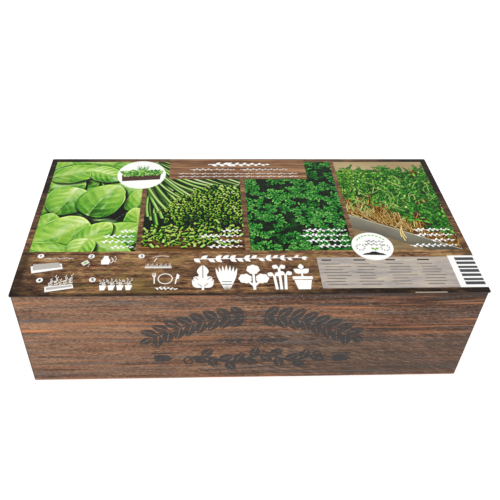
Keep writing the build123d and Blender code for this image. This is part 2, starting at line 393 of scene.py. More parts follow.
def paintBasilLeaf(picture, leaf, seed):
    u, v, angle, length, width, lift, crinkle = leaf
    where, along, across = nearby(picture, (u, v), 0.72 * length + 4, angle)
    rng = np.random.default_rng(seed)
    s = along / (length / 2)
    across = across + rng.uniform(-0.05, 0.05) * length * (s * s - 0.3)
    wobble = (valueNoise(along / 7 + seed, across / 7, seed, 2) - 0.5) * 1.8
    half = width / 2.04 * np.clip(1 - s, 0, 2) ** 0.62 * np.clip(1 + s, 0, 2) ** 0.42
    inner = half - np.abs(across) + wobble * fade(np.abs(s), 1.0, 0.8)
    # a soft shadow falls on the leaves below
    sa, sb = measured(picture, where, (u + 1.2, v - 1.9), angle)
    ss = sa / (length / 2) / 1.04
    cast = width / 1.98 * np.clip(1 - ss, 0, 2) ** 0.6 * np.clip(1 + ss, 0, 2) ** 0.42 - np.abs(sb)
    cast = cast - 8 * fade(np.abs(ss), 0.96, 1.06)
    paint(picture, where, 0.8 * fade(cast, -2.6, 1.8), basilPrint["shadow"])
    q = np.clip(np.abs(across) / np.maximum(half, 0.1), 0, 1.2)
    side = np.sign(across)
    # side veins leave the midrib every few millimetres and sweep towards the tip
    stray = 0.5 * (valueNoise(along / 12, across / 12, seed + 4, 1) - 0.5)
    phase = (s - 0.55 * q ** 1.25) * 2.7 + 0.25 * side + stray
    vein = np.exp(-(np.abs(phase - np.round(phase)) * length / 5.4 / basilPrint["veinWidth"]) ** 2)
    quilt = np.sin(2 * np.pi * phase + 0.8)
    # the window stands behind and to the right, so blades darken towards the front
    du, dv = picture["u"][where] - u, picture["v"][where] - v
    value = 0.42 + 1.25 * lift + 0.15 * (1 - q ** 2) + 0.25 * np.clip(dv / (0.42 * length), -1, 1)
    value += 0.05 * np.clip(du / (0.42 * length), -1, 1)
    turned = 1 if math.cos(math.radians(angle)) > 0 else -1
    value += 0.10 * side * turned * np.exp(-((q - 0.18) / 0.3) ** 2) * fade(s, 1.0, 0.6)
    value += 0.045 * crinkle * quilt * np.sin(np.pi * np.clip(q, 0, 1)) ** 0.7
    value += 0.36 * (valueNoise(along / 12, across / 8, seed + 50, 3) - 0.5)
    value += 0.10 * (valueNoise(along / 1.6, across / 1.6, seed + 90, 2) - 0.5)
    value -= 0.1 * fade(q, 0.84, 1.0) + 0.12 * fade(np.abs(across), 1.4, 0.4) * fade(s, 1.0, 0.6)
    colour = shade(value, basilPrint["greens"])
    # bluish sheen where the blade faces the window, more on some leaves; others are yellower
    cool = rng.random()
    young = fade(valueNoise(along / 9, across / 6, seed + 30, 2), 0.4, 0.7)
    tint(colour, 0.4 * (1 - cool) * young, basilPrint["young"])
    sheen = fade(valueNoise(along / 12 + 3, across / 7, seed + 7, 2), 0.52, 0.8)
    tint(colour, sheen * (1 - q ** 2) * (0.25 + 0.6 * cool), basilPrint["sheen"])
    tint(colour, 0.24 * vein * fade(q, 0.95, 0.3), basilPrint["vein"])
    midrib = np.exp(-(across / (0.62 - 0.25 * s)) ** 2) * fade(s, 1.0, 0.75)
    tint(colour, 0.5 * midrib, basilPrint["vein"])
    rim = np.exp(-((inner - 0.35) / basilPrint["edgeWidth"]) ** 2)
    rim = rim * valueNoise(along / 7, across / 7, seed + 12, 1) * fade(dv, -0.7 * length, 0.0)
    tint(colour, 0.95 * rim, basilPrint["rim"])
    paint(picture, where, fade(inner, -0.2, 0.25), colour)


def paintBasil():
    values = basilPrint
    picture = herbPicture(values["span"], values["gap"])
    for index, leaf in enumerate(values["hidden"]):
        paintBasilLeaf(picture, leaf, 300 + 7 * index)
    for u, v, wide, deep in values["hollows"]:
        reach = np.hypot((picture["u"] - u) / wide, (picture["v"] - v) / deep)
        paintAll(picture, fade(reach, 1.5, 0.7), values["gap"])
    for index, leaf in enumerate(values["leaves"]):
        paintBasilLeaf(picture, leaf, 100 + 7 * index)
    return picture


def paintTube(picture, start, end, width, colours, light, bow=0.0, shadow=0.5):
    centre = ((start[0] + end[0]) / 2, (start[1] + end[1]) / 2)
    length = math.hypot(end[0] - start[0], end[1] - start[1])
    angle = math.degrees(math.atan2(end[1] - start[1], end[0] - start[0]))
    where, along, across = nearby(picture, centre, length / 2 + width * 2, angle)
    across = across + bow * (1 - (2 * along / max(length, 0.1)) ** 2)
    within = fade(length / 2 - np.abs(along), -0.2, 0.3)
    paint(picture, where, shadow * fade(np.abs(across), width * 1.25, width * 0.4) * within, "#0C1A08")
    q = np.clip(2 * across / width, -1, 1)
    up = 1 if math.cos(math.radians(angle)) > 0 else -1
    value = light + 0.34 * np.exp(-((q * up - 0.3) / 0.38) ** 2) - 0.30 * q ** 2
    value += 0.10 * (valueNoise(along / 6 + start[0], across / 1.2, 5, 2) - 0.5)
    paint(picture, where, fade(width / 2 - np.abs(across), -0.18, 0.2) * within, shade(value, colours))


chivesPrint = {
    "span": (77.9, 148.7), "ground": "#182A0E",
    "greens": palette((0.0, "#0A1A06"), (0.25, "#1C4A10"), (0.48, "#40871E"), (0.68, "#74B634"),
                      (0.86, "#A9D457"), (1.0, "#DFF098")),
    "far": palette((0.0, "#224A17"), (0.35, "#5B943F"), (0.62, "#9FCB70"), (0.85, "#CCE69E"),
                   (1.0, "#E6F5C8")),
    "cut": palette((0.0, "#061003"), (0.35, "#244D0C"), (0.66, "#76B125"), (0.85, "#A4D53F"),
                   (1.0, "#DCEE80")),
    "board": palette((0.0, "#3A2416"), (0.4, "#6B4429"), (0.7, "#91623C"), (1.0, "#B58757")),
    "kitchen": palette((0.0, "#1E3A14"), (0.5, "#41702C"), (1.0, "#A99B78")),
    "stalk": 2.9, "spacing": 3.5,  # mm
    "stalks": 140, "chopped": 230, "apex": (62, 156),
    "hanging": (((80, 120), (83, 74)), ((83.5, 112), (87.5, 68)), ((79.5, 104), (80.5, 78)),
                ((86, 106), (91, 76)), ((88.5, 108), (85, 82))),
    "nearest": [(85, 101), (86.5, 93), (99, 104), (91, 91), (107, 108), (95, 98), (103, 101), (88, 84),
                (114, 109), (97, 93), (93.5, 86), (111, 103), (121, 112)],
}


def paintChives():
    values = chivesPrint
    picture = herbPicture(values["span"], values["ground"])
    rng = np.random.default_rng(21)
    u, v = picture["u"], picture["v"]
    # blurred kitchen behind, chopping board in front
    blur = 0.9 * valueNoise(u / 16 + 3, v / 9, 17, 2) - 0.1
    paintAll(picture, fade(v, 100, 108), shade(blur, values["kitchen"]))
    wood = valueNoise(u / 26, v / 1.6, 3, 4, 0.6) * 0.8 + 0.25 * valueNoise(u / 8, v / 5, 9, 2) - 0.05
    paintAll(picture, fade(v + 2.5 * np.sin(u / 9), 68, 60), shade(wood, values["board"]))
    # the bunch lies back to the upper left, out of focus at the far end
    apex = values["apex"]
    for index in range(values["stalks"]):
        share = 1 - index / (values["stalks"] - 1)
        tip = (85 + 64 * share + rng.normal(0, 1.5), 92 + 24 * share ** 0.55 + rng.normal(0, 1.5))
        swell = 5.0 * math.sin(math.pi * min(1, share + 0.1))
        start = (apex[0] + rng.normal(0, 2) + 16 * share, apex[1] - 2 + rng.normal(0, 2))
        colours = values["far"] if rng.random() < 0.7 + 0.3 * share else values["greens"]
        paintTube(picture, start, tip, rng.uniform(2.1, 3.3), colours, rng.uniform(0.3, 0.76) + 0.16 * share,
                  swell + rng.uniform(-1.6, 1.6), 0.6)
    # cut ends, far rows first, each with its own stalk behind it
    ends = []
    for row in np.arange(118, 56, -values["spacing"] * 0.82):
        for column in np.arange(84, 152, values["spacing"]):
            a, b = column + rng.normal(0, 1.0), row + rng.normal(0, 0.8)
            crest = 95 + 17 * min(1, (a - 84) / 30) + 1.6 * math.sin(a / 5)
            foot = 62 + 5 * math.sin(a / 7) + 0.05 * (a - 80)
            if a > 87 + abs(b - 92) * 0.22 and foot < b < crest:
                ends.append(((a, b), (crest - b) / 50))
    for spot, depth in ends:
        dim = 0.02 + 0.95 * noiseAt(spot, 8, 7, 3) - 0.2 * min(1, depth * 1.2) + 0.1 * (spot[0] < 104)
        dim += rng.normal(0, 0.12) + 0.12 * max(0, 1 - depth * 10) * (spot[0] > 108)
        dim += 0.16 * between(spot[0], 132, 144) - 0.2 * between(spot[1], 76, 68)
        turn = 130 + rng.normal(0, 16) - 0.3 * (spot[0] - 100)
        back = polar(spot, 2.4 if depth > 0.08 else 5.0, turn)
        width = values["stalk"] * rng.uniform(0.85, 1.1)
        paintTube(picture, back, spot, width, values["greens"], dim - 0.1, 0, 0.95)
        where, along, across = nearby(picture, spot, 3.6, turn)
        radius = values["stalk"] / 2 * rng.uniform(0.85, 1.25)
        reach = np.hypot(along / (0.85 * radius), across / radius)
        swing = np.sin(np.arctan2(across, along) + 1.5)
        ring = np.exp(-((reach - 0.84) / 0.24) ** 2) * (0.75 + 0.25 * swing)
        value = (dim + 0.44) * ring + 0.1 * fade(along, 1, -1) + 0.02
        paint(picture, where, fade(reach, 1.2, 1.0), shade(value, values["cut"]))
    # a few stalks hang down at the left
    for start, end in values["hanging"]:
        paintTube(picture, start, end, rng.uniform(2.2, 3.4), values["far"], rng.uniform(0.25, 0.5), 1.2,
                  0.8)
    # the nearest stalks end in wide pale rings
    for end in [(a + 3.4, b + 4.2) for a, b in values["nearest"]] + values["nearest"]:
        start = (70 + 0.35 * (end[0] - 85) + rng.normal(0, 1), 148 + rng.normal(0, 2))
        width = rng.uniform(2.0, 2.9)
        paintTube(picture, start, end, width, values["far"], rng.uniform(0.42, 0.7), rng.uniform(1, 5), 0.55)
        turn = math.degrees(math.atan2(start[1] - end[1], start[0] - end[0]))
        where, along, across = nearby(picture, end, 3.6, turn)
        reach = np.hypot(along / (0.38 * width), across / (0.56 * width))
        value = 0.9 * np.exp(-((reach - 0.8) / 0.26) ** 2) + 0.06
        paint(picture, where, fade(reach, 1.15, 0.98), shade(value, values["cut"]))
    # chopped pieces lie on the board, most of them in one heap
    for index in range(values["chopped"]):
        if index % 3:
            spot = (105 + rng.normal(0, 16), 54 + rng.normal(0, 5))
        else:
            spot = (rng.uniform(79, 150), 58 + rng.normal(0, 6.2))
        if spot[1] > 72 or spot[1] < 42.5:
            continue
        turn = math.degrees(rng.uniform(0, math.pi))
        end = polar(spot, rng.uniform(1.6, 4.6) if index > 90 else rng.uniform(1.2, 2.8), turn)
        paintTube(picture, spot, end, rng.uniform(1.6, 2.6), values["greens"], rng.uniform(0.28, 0.84), 0,
                  0.6)
        if rng.random() < 0.5:
            where, along, across = nearby(picture, end, 1.8, turn)
            reach = np.hypot(along / 0.7, across / 1.1)
            value = 0.95 - 0.5 * fade(reach, 0.7, 0.2)
            paint(picture, where, fade(reach, 1.2, 0.9), shade(value, values["cut"]))
    return picture


parsleyPrint = {
    "span": (152.4, 222.9), "ground": "#051A0C",
    "greens": palette((0.0, "#020E05"), (0.2, "#083410"), (0.38, "#176A24"), (0.56, "#2B9132"),
                      (0.8, "#4CAF46"), (1.0, "#82CC66")),
    "tip": (3.0, 1.35), "reach": 7.6, "tips": 52,  # mm
    "hollows": ((186, 64, 11, 8), (201, 92, 10, 7), (213, 131, 9, 11), (174, 119, 9, 4.5), (158, 88, 4, 5),
                (214, 50, 8, 5), (166, 52, 4, 4)),
}


# One toothed tip of the curled edge, dark at its root and bright along its lip
def paintTip(picture, root, length, width, light, out, seed):
    where, along, across = nearby(picture, polar(root, 0.5 * length, out), length * 0.8 + 0.6, out)
    t = np.clip(along / length + 0.5, 0, 1)
    teeth = 1 + 0.3 * np.sin(9 * t + seed + np.sign(across))
    half = 0.5 * width * (0.55 + 0.45 * np.sin(np.pi * t ** 0.8)) * teeth
    inside = np.minimum(half - np.abs(across), 0.5 * length - np.abs(along))
    paint(picture, where, 0.6 * fade(inside, -0.65, 0.1), parsleyPrint["ground"])
    lip = np.exp(-((inside - 0.2) / 0.22) ** 2)
    value = light * (0.54 + 0.34 * t + 0.24 * lip * t) + 0.08 * np.sign(across) * math.sin(math.radians(out))
    paint(picture, where, fade(inside, -0.12, 0.18), shade(value, parsleyPrint["greens"]))


# A curled leaf is a fan of toothed tips; the inner ones lie over the outer ones
def paintParsleyLeaf(picture, centre, angle, size, light, rng):
    whole = parsleyPrint["reach"] * size
    length, width = parsleyPrint["tip"]
    tips = []
    for count in range(parsleyPrint["tips"]):
        heading = angle + rng.uniform(-135, 135)
        lobe = 0.8 + 0.2 * math.cos(math.radians((heading - angle) * 5))
        tips.append((whole * lobe * math.sqrt(rng.random()), heading))
    for reach, heading in sorted(tips, reverse=True):
        lit = light * (0.7 + 0.4 * reach / whole) * rng.uniform(0.72, 1.25)
        paintTip(picture, polar(centre, reach, heading), length * size * rng.uniform(0.7, 1.25),
                 width * rng.uniform(0.8, 1.3), lit, heading + rng.normal(0, 24), rng.uniform(0, 6))


def paintParsley():
    values = parsleyPrint
    picture = herbPicture(values["span"], values["ground"])
    rng = np.random.default_rng(34)
    deep = 0.3 * valueNoise(picture["u"] / 3, picture["v"] / 3, 2, 3)
    paintAll(picture, 1.0, shade(deep, values["greens"]))
    leaves = []
    for row in range(11):
        for column in range(7):
            a = 151 + 12.4 * column + 6 * (row % 2) + rng.normal(0, 2.2)
            b = 41 + 10.8 * row + rng.normal(0, 2.2)
            dark = min(math.hypot((a - u) / wide, (b - v) / high) for u, v, wide, high in values["hollows"])
            light = rng.uniform(0.82, 1.1) * (0.22 + 0.78 * between(dark, 0.55, 1.4))
            leaves.append((light + rng.normal(0, 0.08), (a, b), rng.uniform(0.85, 1.2)))
    for light, spot, size in sorted(leaves):
        paintParsleyLeaf(picture, spot, rng.uniform(0, 360), size, max(0.16, light), rng)
    return picture


cressPrint = {
    "span": (226.2, 298.3), "ground": "#3A2A12",
    "greens": palette((0.0, "#071C06"), (0.28, "#1A4F16"), (0.5, "#2B8427"), (0.7, "#54AC34"),
                      (0.86, "#8ECC4E"), (1.0, "#CFEA94")),
    "young": palette((0.0, "#1A3A0C"), (0.3, "#377A1C"), (0.5, "#5FA62E"), (0.7, "#90C84A"),
                     (1.0, "#DFEFA0")),
    "stems": palette((0.0, "#2E1A08"), (0.35, "#84541A"), (0.6, "#C48C36"), (0.8, "#E2BA66"),
                     (1.0, "#F2E4B4")),
    "linen": palette((0.0, "#9C8868"), (1.0, "#C9B795")),
    "zinc": palette((0.0, "#40403C"), (0.5, "#7A786F"), (1.0, "#B8B6AA")),
    "board": palette((0.0, "#5A4A34"), (0.5, "#857257"), (1.0, "#AE9C78")),
    "rolledRim": "#C9CCC6", "leafShadow": "#10260F", "stemCount": 560, "leafCount": 1250, "crossing": 70,
}


# The tin's rim falls to the right across the picture
def tinRim(u):
    return 80 - 0.535 * (u - 226.2)


def paintCress():
    values = cressPrint
    picture = herbPicture(values["span"], values["ground"])
    rng = np.random.default_rng(55)
    u, v = picture["u"], picture["v"]
    rim = tinRim(u)
    paintAll(picture, 1.0, shade(0.5 * valueNoise(u / 3, v / 5, 4, 3), values["stems"]))
    table = 0.75 * valueNoise(u / 20, v / 2.2, 8, 3) + 0.15
    paintAll(picture, fade(v, rim - 13, rim - 14), shade(table, values["board"]))
    metal = 0.48 + 0.2 * (v - rim + 10) / 10 + 0.3 * (valueNoise(u / 14, v / 14, 6, 2) - 0.5)
    metal = metal - 0.4 * fade(u, 256, 292)
    face = fade(v, rim, rim - 0.4) * fade(v, rim - 16 + 0.06 * (u - 226), rim - 15 + 0.06 * (u - 226))
    paintAll(picture, face, shade(metal, values["zinc"]))
    paintAll(picture, np.exp(-((v - rim + 0.5) / 0.55) ** 2) * 0.8, values["rolledRim"])
    # stems crowd up from the rim, leaning over it in places
    for index in range(values["stemCount"]):
        a, low = rng.uniform(224, 300), rng.uniform(0.5, 20)
        height, lean = rng.uniform(7, 20), rng.normal(0, 5)
        base = tinRim(a) + low
        tone = rng.uniform(0.08, 0.74) + 0.2 * (low < 9) - 0.12 * (low > 13) - 0.3 * fade(a, 268, 284)
        paintTube(picture, (a, base), (a + lean, base + height), rng.uniform(0.5, 1.0), values["stems"],
                  tone, rng.normal(0, 1.4), 0.5)
    back = 0.75 * valueNoise(u / 30, v / 10, 12, 2) + 0.1
    crown = fade(v + 1.5 * np.sin(u / 6) + 1.2 * np.sin(u / 2.1), 132, 136)
    paintAll(picture, crown, shade(back, values["linen"]))
    leaves = []
    for index in range(values["leafCount"]):
        a = rng.uniform(225, 300)
        low = 100 - 0.5 * (a - 226.2) + 6 * math.exp(-((a - 254) / 15) ** 2) - 4 * fade(a, 262, 290)
        b = rng.uniform(low - 6, 135)
        leaves.append((b + rng.normal(0, 3), a, low))
    for b, a, low in sorted(leaves, reverse=True):
        patchy = noiseAt((a, b), 9, 8, 71)
        bare = 0.9 * (patchy < 0.36) * fade(b, 116, 106)
        if rng.random() > 0.15 + 1.0 * fade(b, low - 5, low + 14) - bare:
            continue
        tone = 0.1 + 0.6 * patchy + 0.1 * fade(b, low, 132) + rng.normal(0, 0.14)
        fresh = rng.random() < 0.62 - 0.6 * fade(a, 232, 268) + 0.25 * (patchy < 0.42)
        greens = values["young"] if fresh else values["greens"]
        turn = rng.uniform(0, 360)
        if rng.random() < 0.42:
            foot = (a - rng.normal(0, 3), b - 8)
            paintTube(picture, foot, (a, b), 0.6, values["stems"] if rng.random() < 0.45 else greens,
                      rng.uniform(0.55, 1.0), rng.normal(0, 0.6), 0.3)
        for lobe in (0, rng.uniform(110, 170)):
            length, width = rng.uniform(3.0, 5.4), rng.uniform(1.3, 2.4)
            angle = turn + lobe
            where, along, across = nearby(picture, polar((a, b), length / 2, angle), length, angle)
            q = np.hypot(2 * along / length, 2 * across / width)
            paint(picture, where, 0.5 * fade(q, 1.7, 0.9), values["leafShadow"])
            light = tone + 0.15 * (across > 0) - 0.12 * q ** 2 + 0.1 * np.exp(-(across / 0.25) ** 2)
            paint(picture, where, fade(q, 1.12, 0.88), shade(light, greens))
    # pale stems cross in front of the leaves
    for index in range(values["crossing"]):
        a, b = rng.uniform(226, 298), rng.uniform(84, 130) - 6
        lean = rng.normal(0, 5)
        tip = (a + lean, b + rng.uniform(5, 10))
        paintTube(picture, (a, b), tip, rng.uniform(0.35, 0.6), values["young"], rng.uniform(0.6, 0.95),
                  rng.normal(0, 1), 0.25)
    # one seedling hangs over the rim
    for end in ((261, 50), (259.5, 54), (262.5, 53)):
        paintTube(picture, (262, 66), end, 1.0, values["stems"], 0.9, 1.0, 0.3)
    return picture


# Offset-printed card under water-based varnish: flat full colour with a faint satin sheen
varnish = {"Roughness": 0.42, "IOR": 1.5, "Specular IOR Level": 0.12}


# The ink's colour attribute, made uneven by the paper; "spread" is how dark and how light that gets
def inkColour(tree, paper, spread):
    ink = addNode(tree, "VertexColor", layer_name="ink")
    value = addNode(tree, "MapRange", paper, 0.5 - spread[0], 0.5 + spread[0], *spread[1:])
    return addNode(tree, "VectorMath", ink.outputs["Color"], operation="SCALE", Scale=value)


def varnishedPrint():
    material, tree, spot = newMaterial("varnishedPrintedCard", varnish)
    dots = grain(tree, spot, (0.35, 0.35, 0.35), 3, 1)
    return finishMaterial(material, inkColour(tree, dots, (0.3, 0.97, 1.03)))


def finishPiece(mesh, body, slotName, material=None, *replaced):
    piece = bpy.data.objects.new(mesh.name, mesh)
    bpy.context.scene.collection.objects.link(piece)
    if material:
        mesh.materials.append(material)
    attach(piece, body)
    if replaced:
        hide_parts(*replaced)


def colourMesh(mesh, colours):
    colours = np.concatenate([colours, np.ones((len(colours), 1))], 1)
    layer = mesh.color_attributes.new(name="ink", type="FLOAT_COLOR", domain="POINT")
    layer.data.foreach_set("color", colours.astype(np.float32).ravel())


# A block from a grid of points: its top is the grid, and its sides drop to the foot in so many levels
def reliefBlock(name, x, y, heights, foot, levels=1, jitter=None):
    rows, columns = heights.shape
    ids = np.arange(rows * columns).reshape(rows, columns)
    faces = np.stack([ids[:-1, :-1], ids[:-1, 1:], ids[1:, 1:], ids[1:, :-1]], -1).reshape(-1, 4).tolist()
    ring = np.concatenate([ids[0, :-1], ids[:-1, -1], ids[-1, :0:-1], ids[:0:-1, 0]])
    points = np.stack([x.ravel(), y.ravel(), heights.ravel()], 1)
    middle = (points[:, :2].min(0) + points[:, :2].max(0)) / 2
    stack, above = [points], ring
    for level in range(1, levels + 1):
        layer = points[ring]
        layer[:, 2] += (foot - layer[:, 2]) * level / levels
        if jitter is not None:
            inward = middle - layer[:, :2]
            inward = inward / np.linalg.norm(inward, axis=1)[:, None]
            layer[:, :2] += inward * jitter(layer, level)[:, None]
        below = len(points) + (level - 1) * len(ring) + np.arange(len(ring))
        faces += np.stack([np.roll(above, -1), above, below, np.roll(below, -1)], 1).tolist()
        stack.append(layer)
        above = below
    faces.append(above[::-1].tolist())
    mesh = bpy.data.meshes.new(name)
    mesh.from_pydata(np.concatenate(stack).tolist(), [], faces)
    return mesh, ring


# Prints are laid out in millimetres from the lid's front left corner; heights go up from the printed face
lidLow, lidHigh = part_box("card_lid")
lidFace = lidHigh.z / mm - 0.16
press = {
    "centre": (151.52, 76.39), "scale": (0.9933, 0.9861),  # the place at the lid's middle
    "underside": -0.02, "picture": 0.03, "veil": 0.009, "tint": (0.98, 0.95, 0.83), "reach": (1.3, 0.8),
    "crispness": {"basil": 0.95, "chives": 1.2, "parsley": 0.45, "cress": 0.15},
    # heights of the prints over the face, so the later ones here lie over the others
    "lifts": {"edge_scuff": 0.02, "fine_sprigs": 0.025, "step_drawings": 0.03, "herb_ornament": 0.03,
              "leaf_line": 0.03, "label_ground": 0.03, "stripe_ground": 0.032, "banner": 0.04,
              "label_rules": 0.045, "picture_captions": 0.05, "banner_leaves": 0.05, "discs": 0.055,
              "planter_drawing": 0.058, "soil_drawing": 0.06, "step_numbers": 0.12},
}
printRight = press["centre"][0] + (lidHigh.x - lidLow.x) / mm / 2 / press["scale"][0]


def onLid(u, v, height=0.0):
    middle, scale = press["centre"], press["scale"]
    return (u - middle[0]) * scale[0] * mm, (v - middle[1]) * scale[1] * mm, (lidFace + height) * mm


# The press sharpens its pictures: light spots get lighter and dark ones darker, hues and the mean stay
def crisper(colours, amount, pitch):
    light = colours @ (0.3, 0.59, 0.11)
    soft = light
    for axis, reach in enumerate(press["reach"]):
        pad = [(1, 1) if axis == k else (0, 0) for k in range(2)]
        for _ in range(round(2 * (reach / pitch) ** 2)):
            wide = np.moveaxis(np.pad(soft, pad, mode="edge"), axis, 0)
            soft = np.moveaxis((wide[:-2] + 2 * wide[1:-1] + wide[2:]) / 4, 0, axis)
    gain = np.clip(1 + amount * (light - soft) / np.maximum(light, 0.08), 0.35, 1.6)
    before = toLinear(colours)
    after = toLinear(np.clip(colours * gain[:, :, None], 0, 1))
    return after * before.mean((0, 1)) / after.mean((0, 1))


print("herb pictures")
inkedCard = varnishedPrint()
for herb, painter in zip(herbs, (paintBasil, paintChives, paintParsley, paintCress)):
    picture = painter()
    x, y, top = onLid(picture["u"], picture["v"], press["picture"])
    foot = onLid(0, 0, press["underside"])[2]
    mesh, ring = reliefBlock("lid_" + herb + "_picture", x, y, np.full(x.shape, top), foot)
    # the varnish's own sheen lifts the darks again, most of all in blue
    colours = crisper(np.clip(picture["colour"], 0, 1), press["crispness"][herb], picture["pitch"])
    colours = np.clip(colours.reshape(-1, 3) - press["veil"], 0, 1) * press["tint"]
    colourMesh(mesh, np.concatenate([colours, colours[ring]]))
    finishPiece(mesh, "lid", "printed_card", inkedCard)


# The lid sheet: solid bleached board on grey core, printed with dark planks that run along its length
card = {
    "ground": ((0.12, "#2A1C14"), (0.34, "#4D3424"), (0.5, "#6F4E35"), (0.66, "#8F6A46"), (0.86, "#B28D60")),
    "olive": "#86703A", "burn": "#1A0F08", "back": "#7B5B46", "core": ("#3B2F28", "#4A3C33"),
    # grain sizes in mm along, across and through the planks, then the noise's shift, detail and roughness
    "grains": {"streaks": ((34, 2.6, 9), 3, 4, 0.62), "fibres": ((3.6, 0.9, 9), 8, 3, 0.65),
               "patches": ((8, 5, 9), 14, 3, 0.55), "sway": ((90, 40, 30), 41, 1),
               "olive": ((26, 13, 9), 60, 2), "burn": ((14, 7, 9), 71, 4, 0.6)},
    "strengths": {"streaks": 1.25, "fibres": 1.1, "patches": 0.9, "burn": 1.7}, "wander": 7.0,
    "plankWidth": 27.0, "firstSeam": 38.0, "corner": 1.2, "arris": 0.12,
    "areas": {
        "lightBand": (("y", -0.052, -0.042), ("y", -0.03, -0.036, 0, 0.1)),
        "seams": (("seam", 0.0009, 0.0002, 0, -0.2),), "back": (("y", -0.02, 0.06, 0, 0.45),),
        "olive": (("olive", 0.5, 0.66, 0, 0.55), ("y", -0.034, -0.044)),
    },
    # the print is burnt dark here: the front edge, its right half and corners, both ends, the back corners
    "burnt": ((("y", -0.0725, -0.0752, 0, 0.9),), (("x", 0.0, 0.07), ("y", -0.0695, -0.0725)),
              (("side", 0.128, 0.151, 0, 1.35), ("y", -0.048, -0.074)),
              (("side", 0.1425, 0.1465), ("y", -0.02, 0.04, 0, 1.1)),
              (("side", 0.1425, 0.1465), ("y", -0.028, -0.042, 0, 0.75)),
              (("side", 0.085, 0.135), ("y", 0.069, 0.0715))),
    "backEdge": (("y", 0.071, 0.0762, 0, 0.5),),
}


def printedPlanks():
    material, tree, spot = newMaterial("varnishedPrintedPlanks", varnish)
    grains, strengths = card["grains"], card["strengths"]
    sources = axisSources(tree, spot)
    sway = grain(tree, spot, *grains["sway"]).outputs["Color"]
    bent = addNode(tree, "VectorMath", sway, (0, card["wander"] * mm, 0), spot, operation="MULTIPLY_ADD")
    mix = overlay(tree, 0.5, *((grain(tree, start, *grains[key]), strengths[key])
                               for key, start in (("streaks", bent), ("fibres", bent), ("patches", spot))))
    shifted = addNode(tree, "Math", sources["y"], card["firstSeam"] * mm)
    sources["seam"] = addNode(tree, "Math", shifted, card["plankWidth"] * mm / 2, operation="PINGPONG")
    sources["olive"] = grain(tree, spot, *grains["olive"])
    covers = {key: area(tree, sources, spans) for key, spans in card["areas"].items()}
    # a lighter band before the pictures, and dark seams between the planks
    for key in ("lightBand", "seams"):
        mix = addNode(tree, "Math", mix, covers[key])
    colour = addNode(tree, "ValToRGB", mix, stops=card["ground"])
    # olive patches in the front strip, reddish brown towards the back
    for key in ("olive", "back"):
        colour = addNode(tree, "MixRGB", covers[key], colour, card[key])
    burnt = [area(tree, sources, spans) for spans in card["burnt"]]
    dark = burnt[0]
    for part in burnt[1:]:
        dark = addNode(tree, "Math", dark, part, operation="MAXIMUM")
    dark = addNode(tree, "Math", dark, area(tree, sources, card["backEdge"]))
    uneven = overlay(tree, 0.95, (grain(tree, spot, *grains["burn"]), strengths["burn"]))
    dark = addNode(tree, "Math", dark, uneven, operation="MULTIPLY", use_clamp=True)
    return finishMaterial(material, addNode(tree, "MixRGB", dark, colour, card["burn"]))


# Cut greyboard: matt and fibrous, browned where the print's ink ran over the edge
def greyCore():
    material, tree, spot = newMaterial("cutGreyboardEdge", {"Roughness": 0.8, "IOR": 1.5})
    fibres = addNode(tree, "MapRange", grain(tree, spot, (2, 2, 0.12), 6), 0.35, 0.65)
    return finishMaterial(material, addNode(tree, "MixRGB", fibres, *card["core"]))


def roundedOutline(low, high, radius, sides=6):
    points = []
    for index, (right, back) in enumerate(((1, 1), (0, 1), (0, 0), (1, 0))):
        centre = (high[0] - radius if right else low[0] + radius,
                  high[1] - radius if back else low[1] + radius)
        points += [polar(centre, radius, 90 * (index + step / sides)) for step in range(sides + 1)]
    return points


# Four outlines stand on each other: the underside's blunt arris, the cut edge and the face's blunt arris
def makeCard():
    arris = card["arris"] * mm
    face = lidFace * mm
    points = []
    for inset, z in ((arris, lidLow.z), (0, lidLow.z + arris), (0, face - arris), (arris, face)):
        outline = roundedOutline((lidLow.x + inset, lidLow.y + inset),
                                 (lidHigh.x - inset, lidHigh.y - inset), card["corner"] * mm - inset)
        points += [(a, b, z) for a, b in outline]
    count = len(outline)
    faces = [tuple(range(count))[::-1]]
    for base in range(0, 3 * count, count):
        faces += [(base + i, base + (i + 1) % count, base + count + (i + 1) % count, base + count + i)
                  for i in range(count)]
    faces.append(tuple(range(3 * count, 4 * count)))
    mesh = bpy.data.meshes.new("printed_card_lid")
    mesh.from_pydata(points, [], faces)
    mesh.materials.append(printedPlanks())
    mesh.materials.append(greyCore())
    for polygon in mesh.polygons:
        polygon.material_index = 0 if polygon.normal.z > 0.5 else 1
    finishPiece(mesh, "lid", "printed_card", None, "card_lid")


print("lid card")
makeCard()


# Flat shapes for print work, in millimetres
def turnShape(points, centre=(0, 0), angle=0.0, size=1.0):
    c, s = math.cos(math.radians(angle)), math.sin(math.radians(angle))
    return np.asarray(points, float) * size @ np.array([[c, s], [-s, c]]) + centre


def discShape(radius, sides=40):
    turns = np.linspace(0, 2 * math.pi, sides, endpoint=False)
    return radius * np.stack([np.cos(turns), np.sin(turns)], 1)


def barShape(low, high):
    return np.array([(low[0], low[1]), (high[0], low[1]), (high[0], high[1]), (low[0], high[1])], float)


def strokeShape(points, width, taper=1.0):
    points = np.asarray(points, float)
    run = np.gradient(points, axis=0)
    normal = np.stack([-run[:, 1], run[:, 0]], 1) / np.linalg.norm(run, axis=1)[:, None]
    half = (width / 2 * np.linspace(1, taper, len(points)))[:, None]
    return np.concatenate([points - normal * half, (points + normal * half)[::-1]])


# A leaf from (0, 0) along +u, or its two halves where a gap stands for the midrib
def leafShapes(length, width, gap=0.0, fullness=0.85):
    along = np.linspace(0, 1, 12)
    rise = width / 2 * np.sin(np.pi * along ** fullness)
    halves = [np.stack([along * length, side * (gap / 2 + rise * (1 - gap / width))], 1) for side in (1, -1)]
    return halves if gap else [np.concatenate([halves[1], halves[0][-2:0:-1]])]


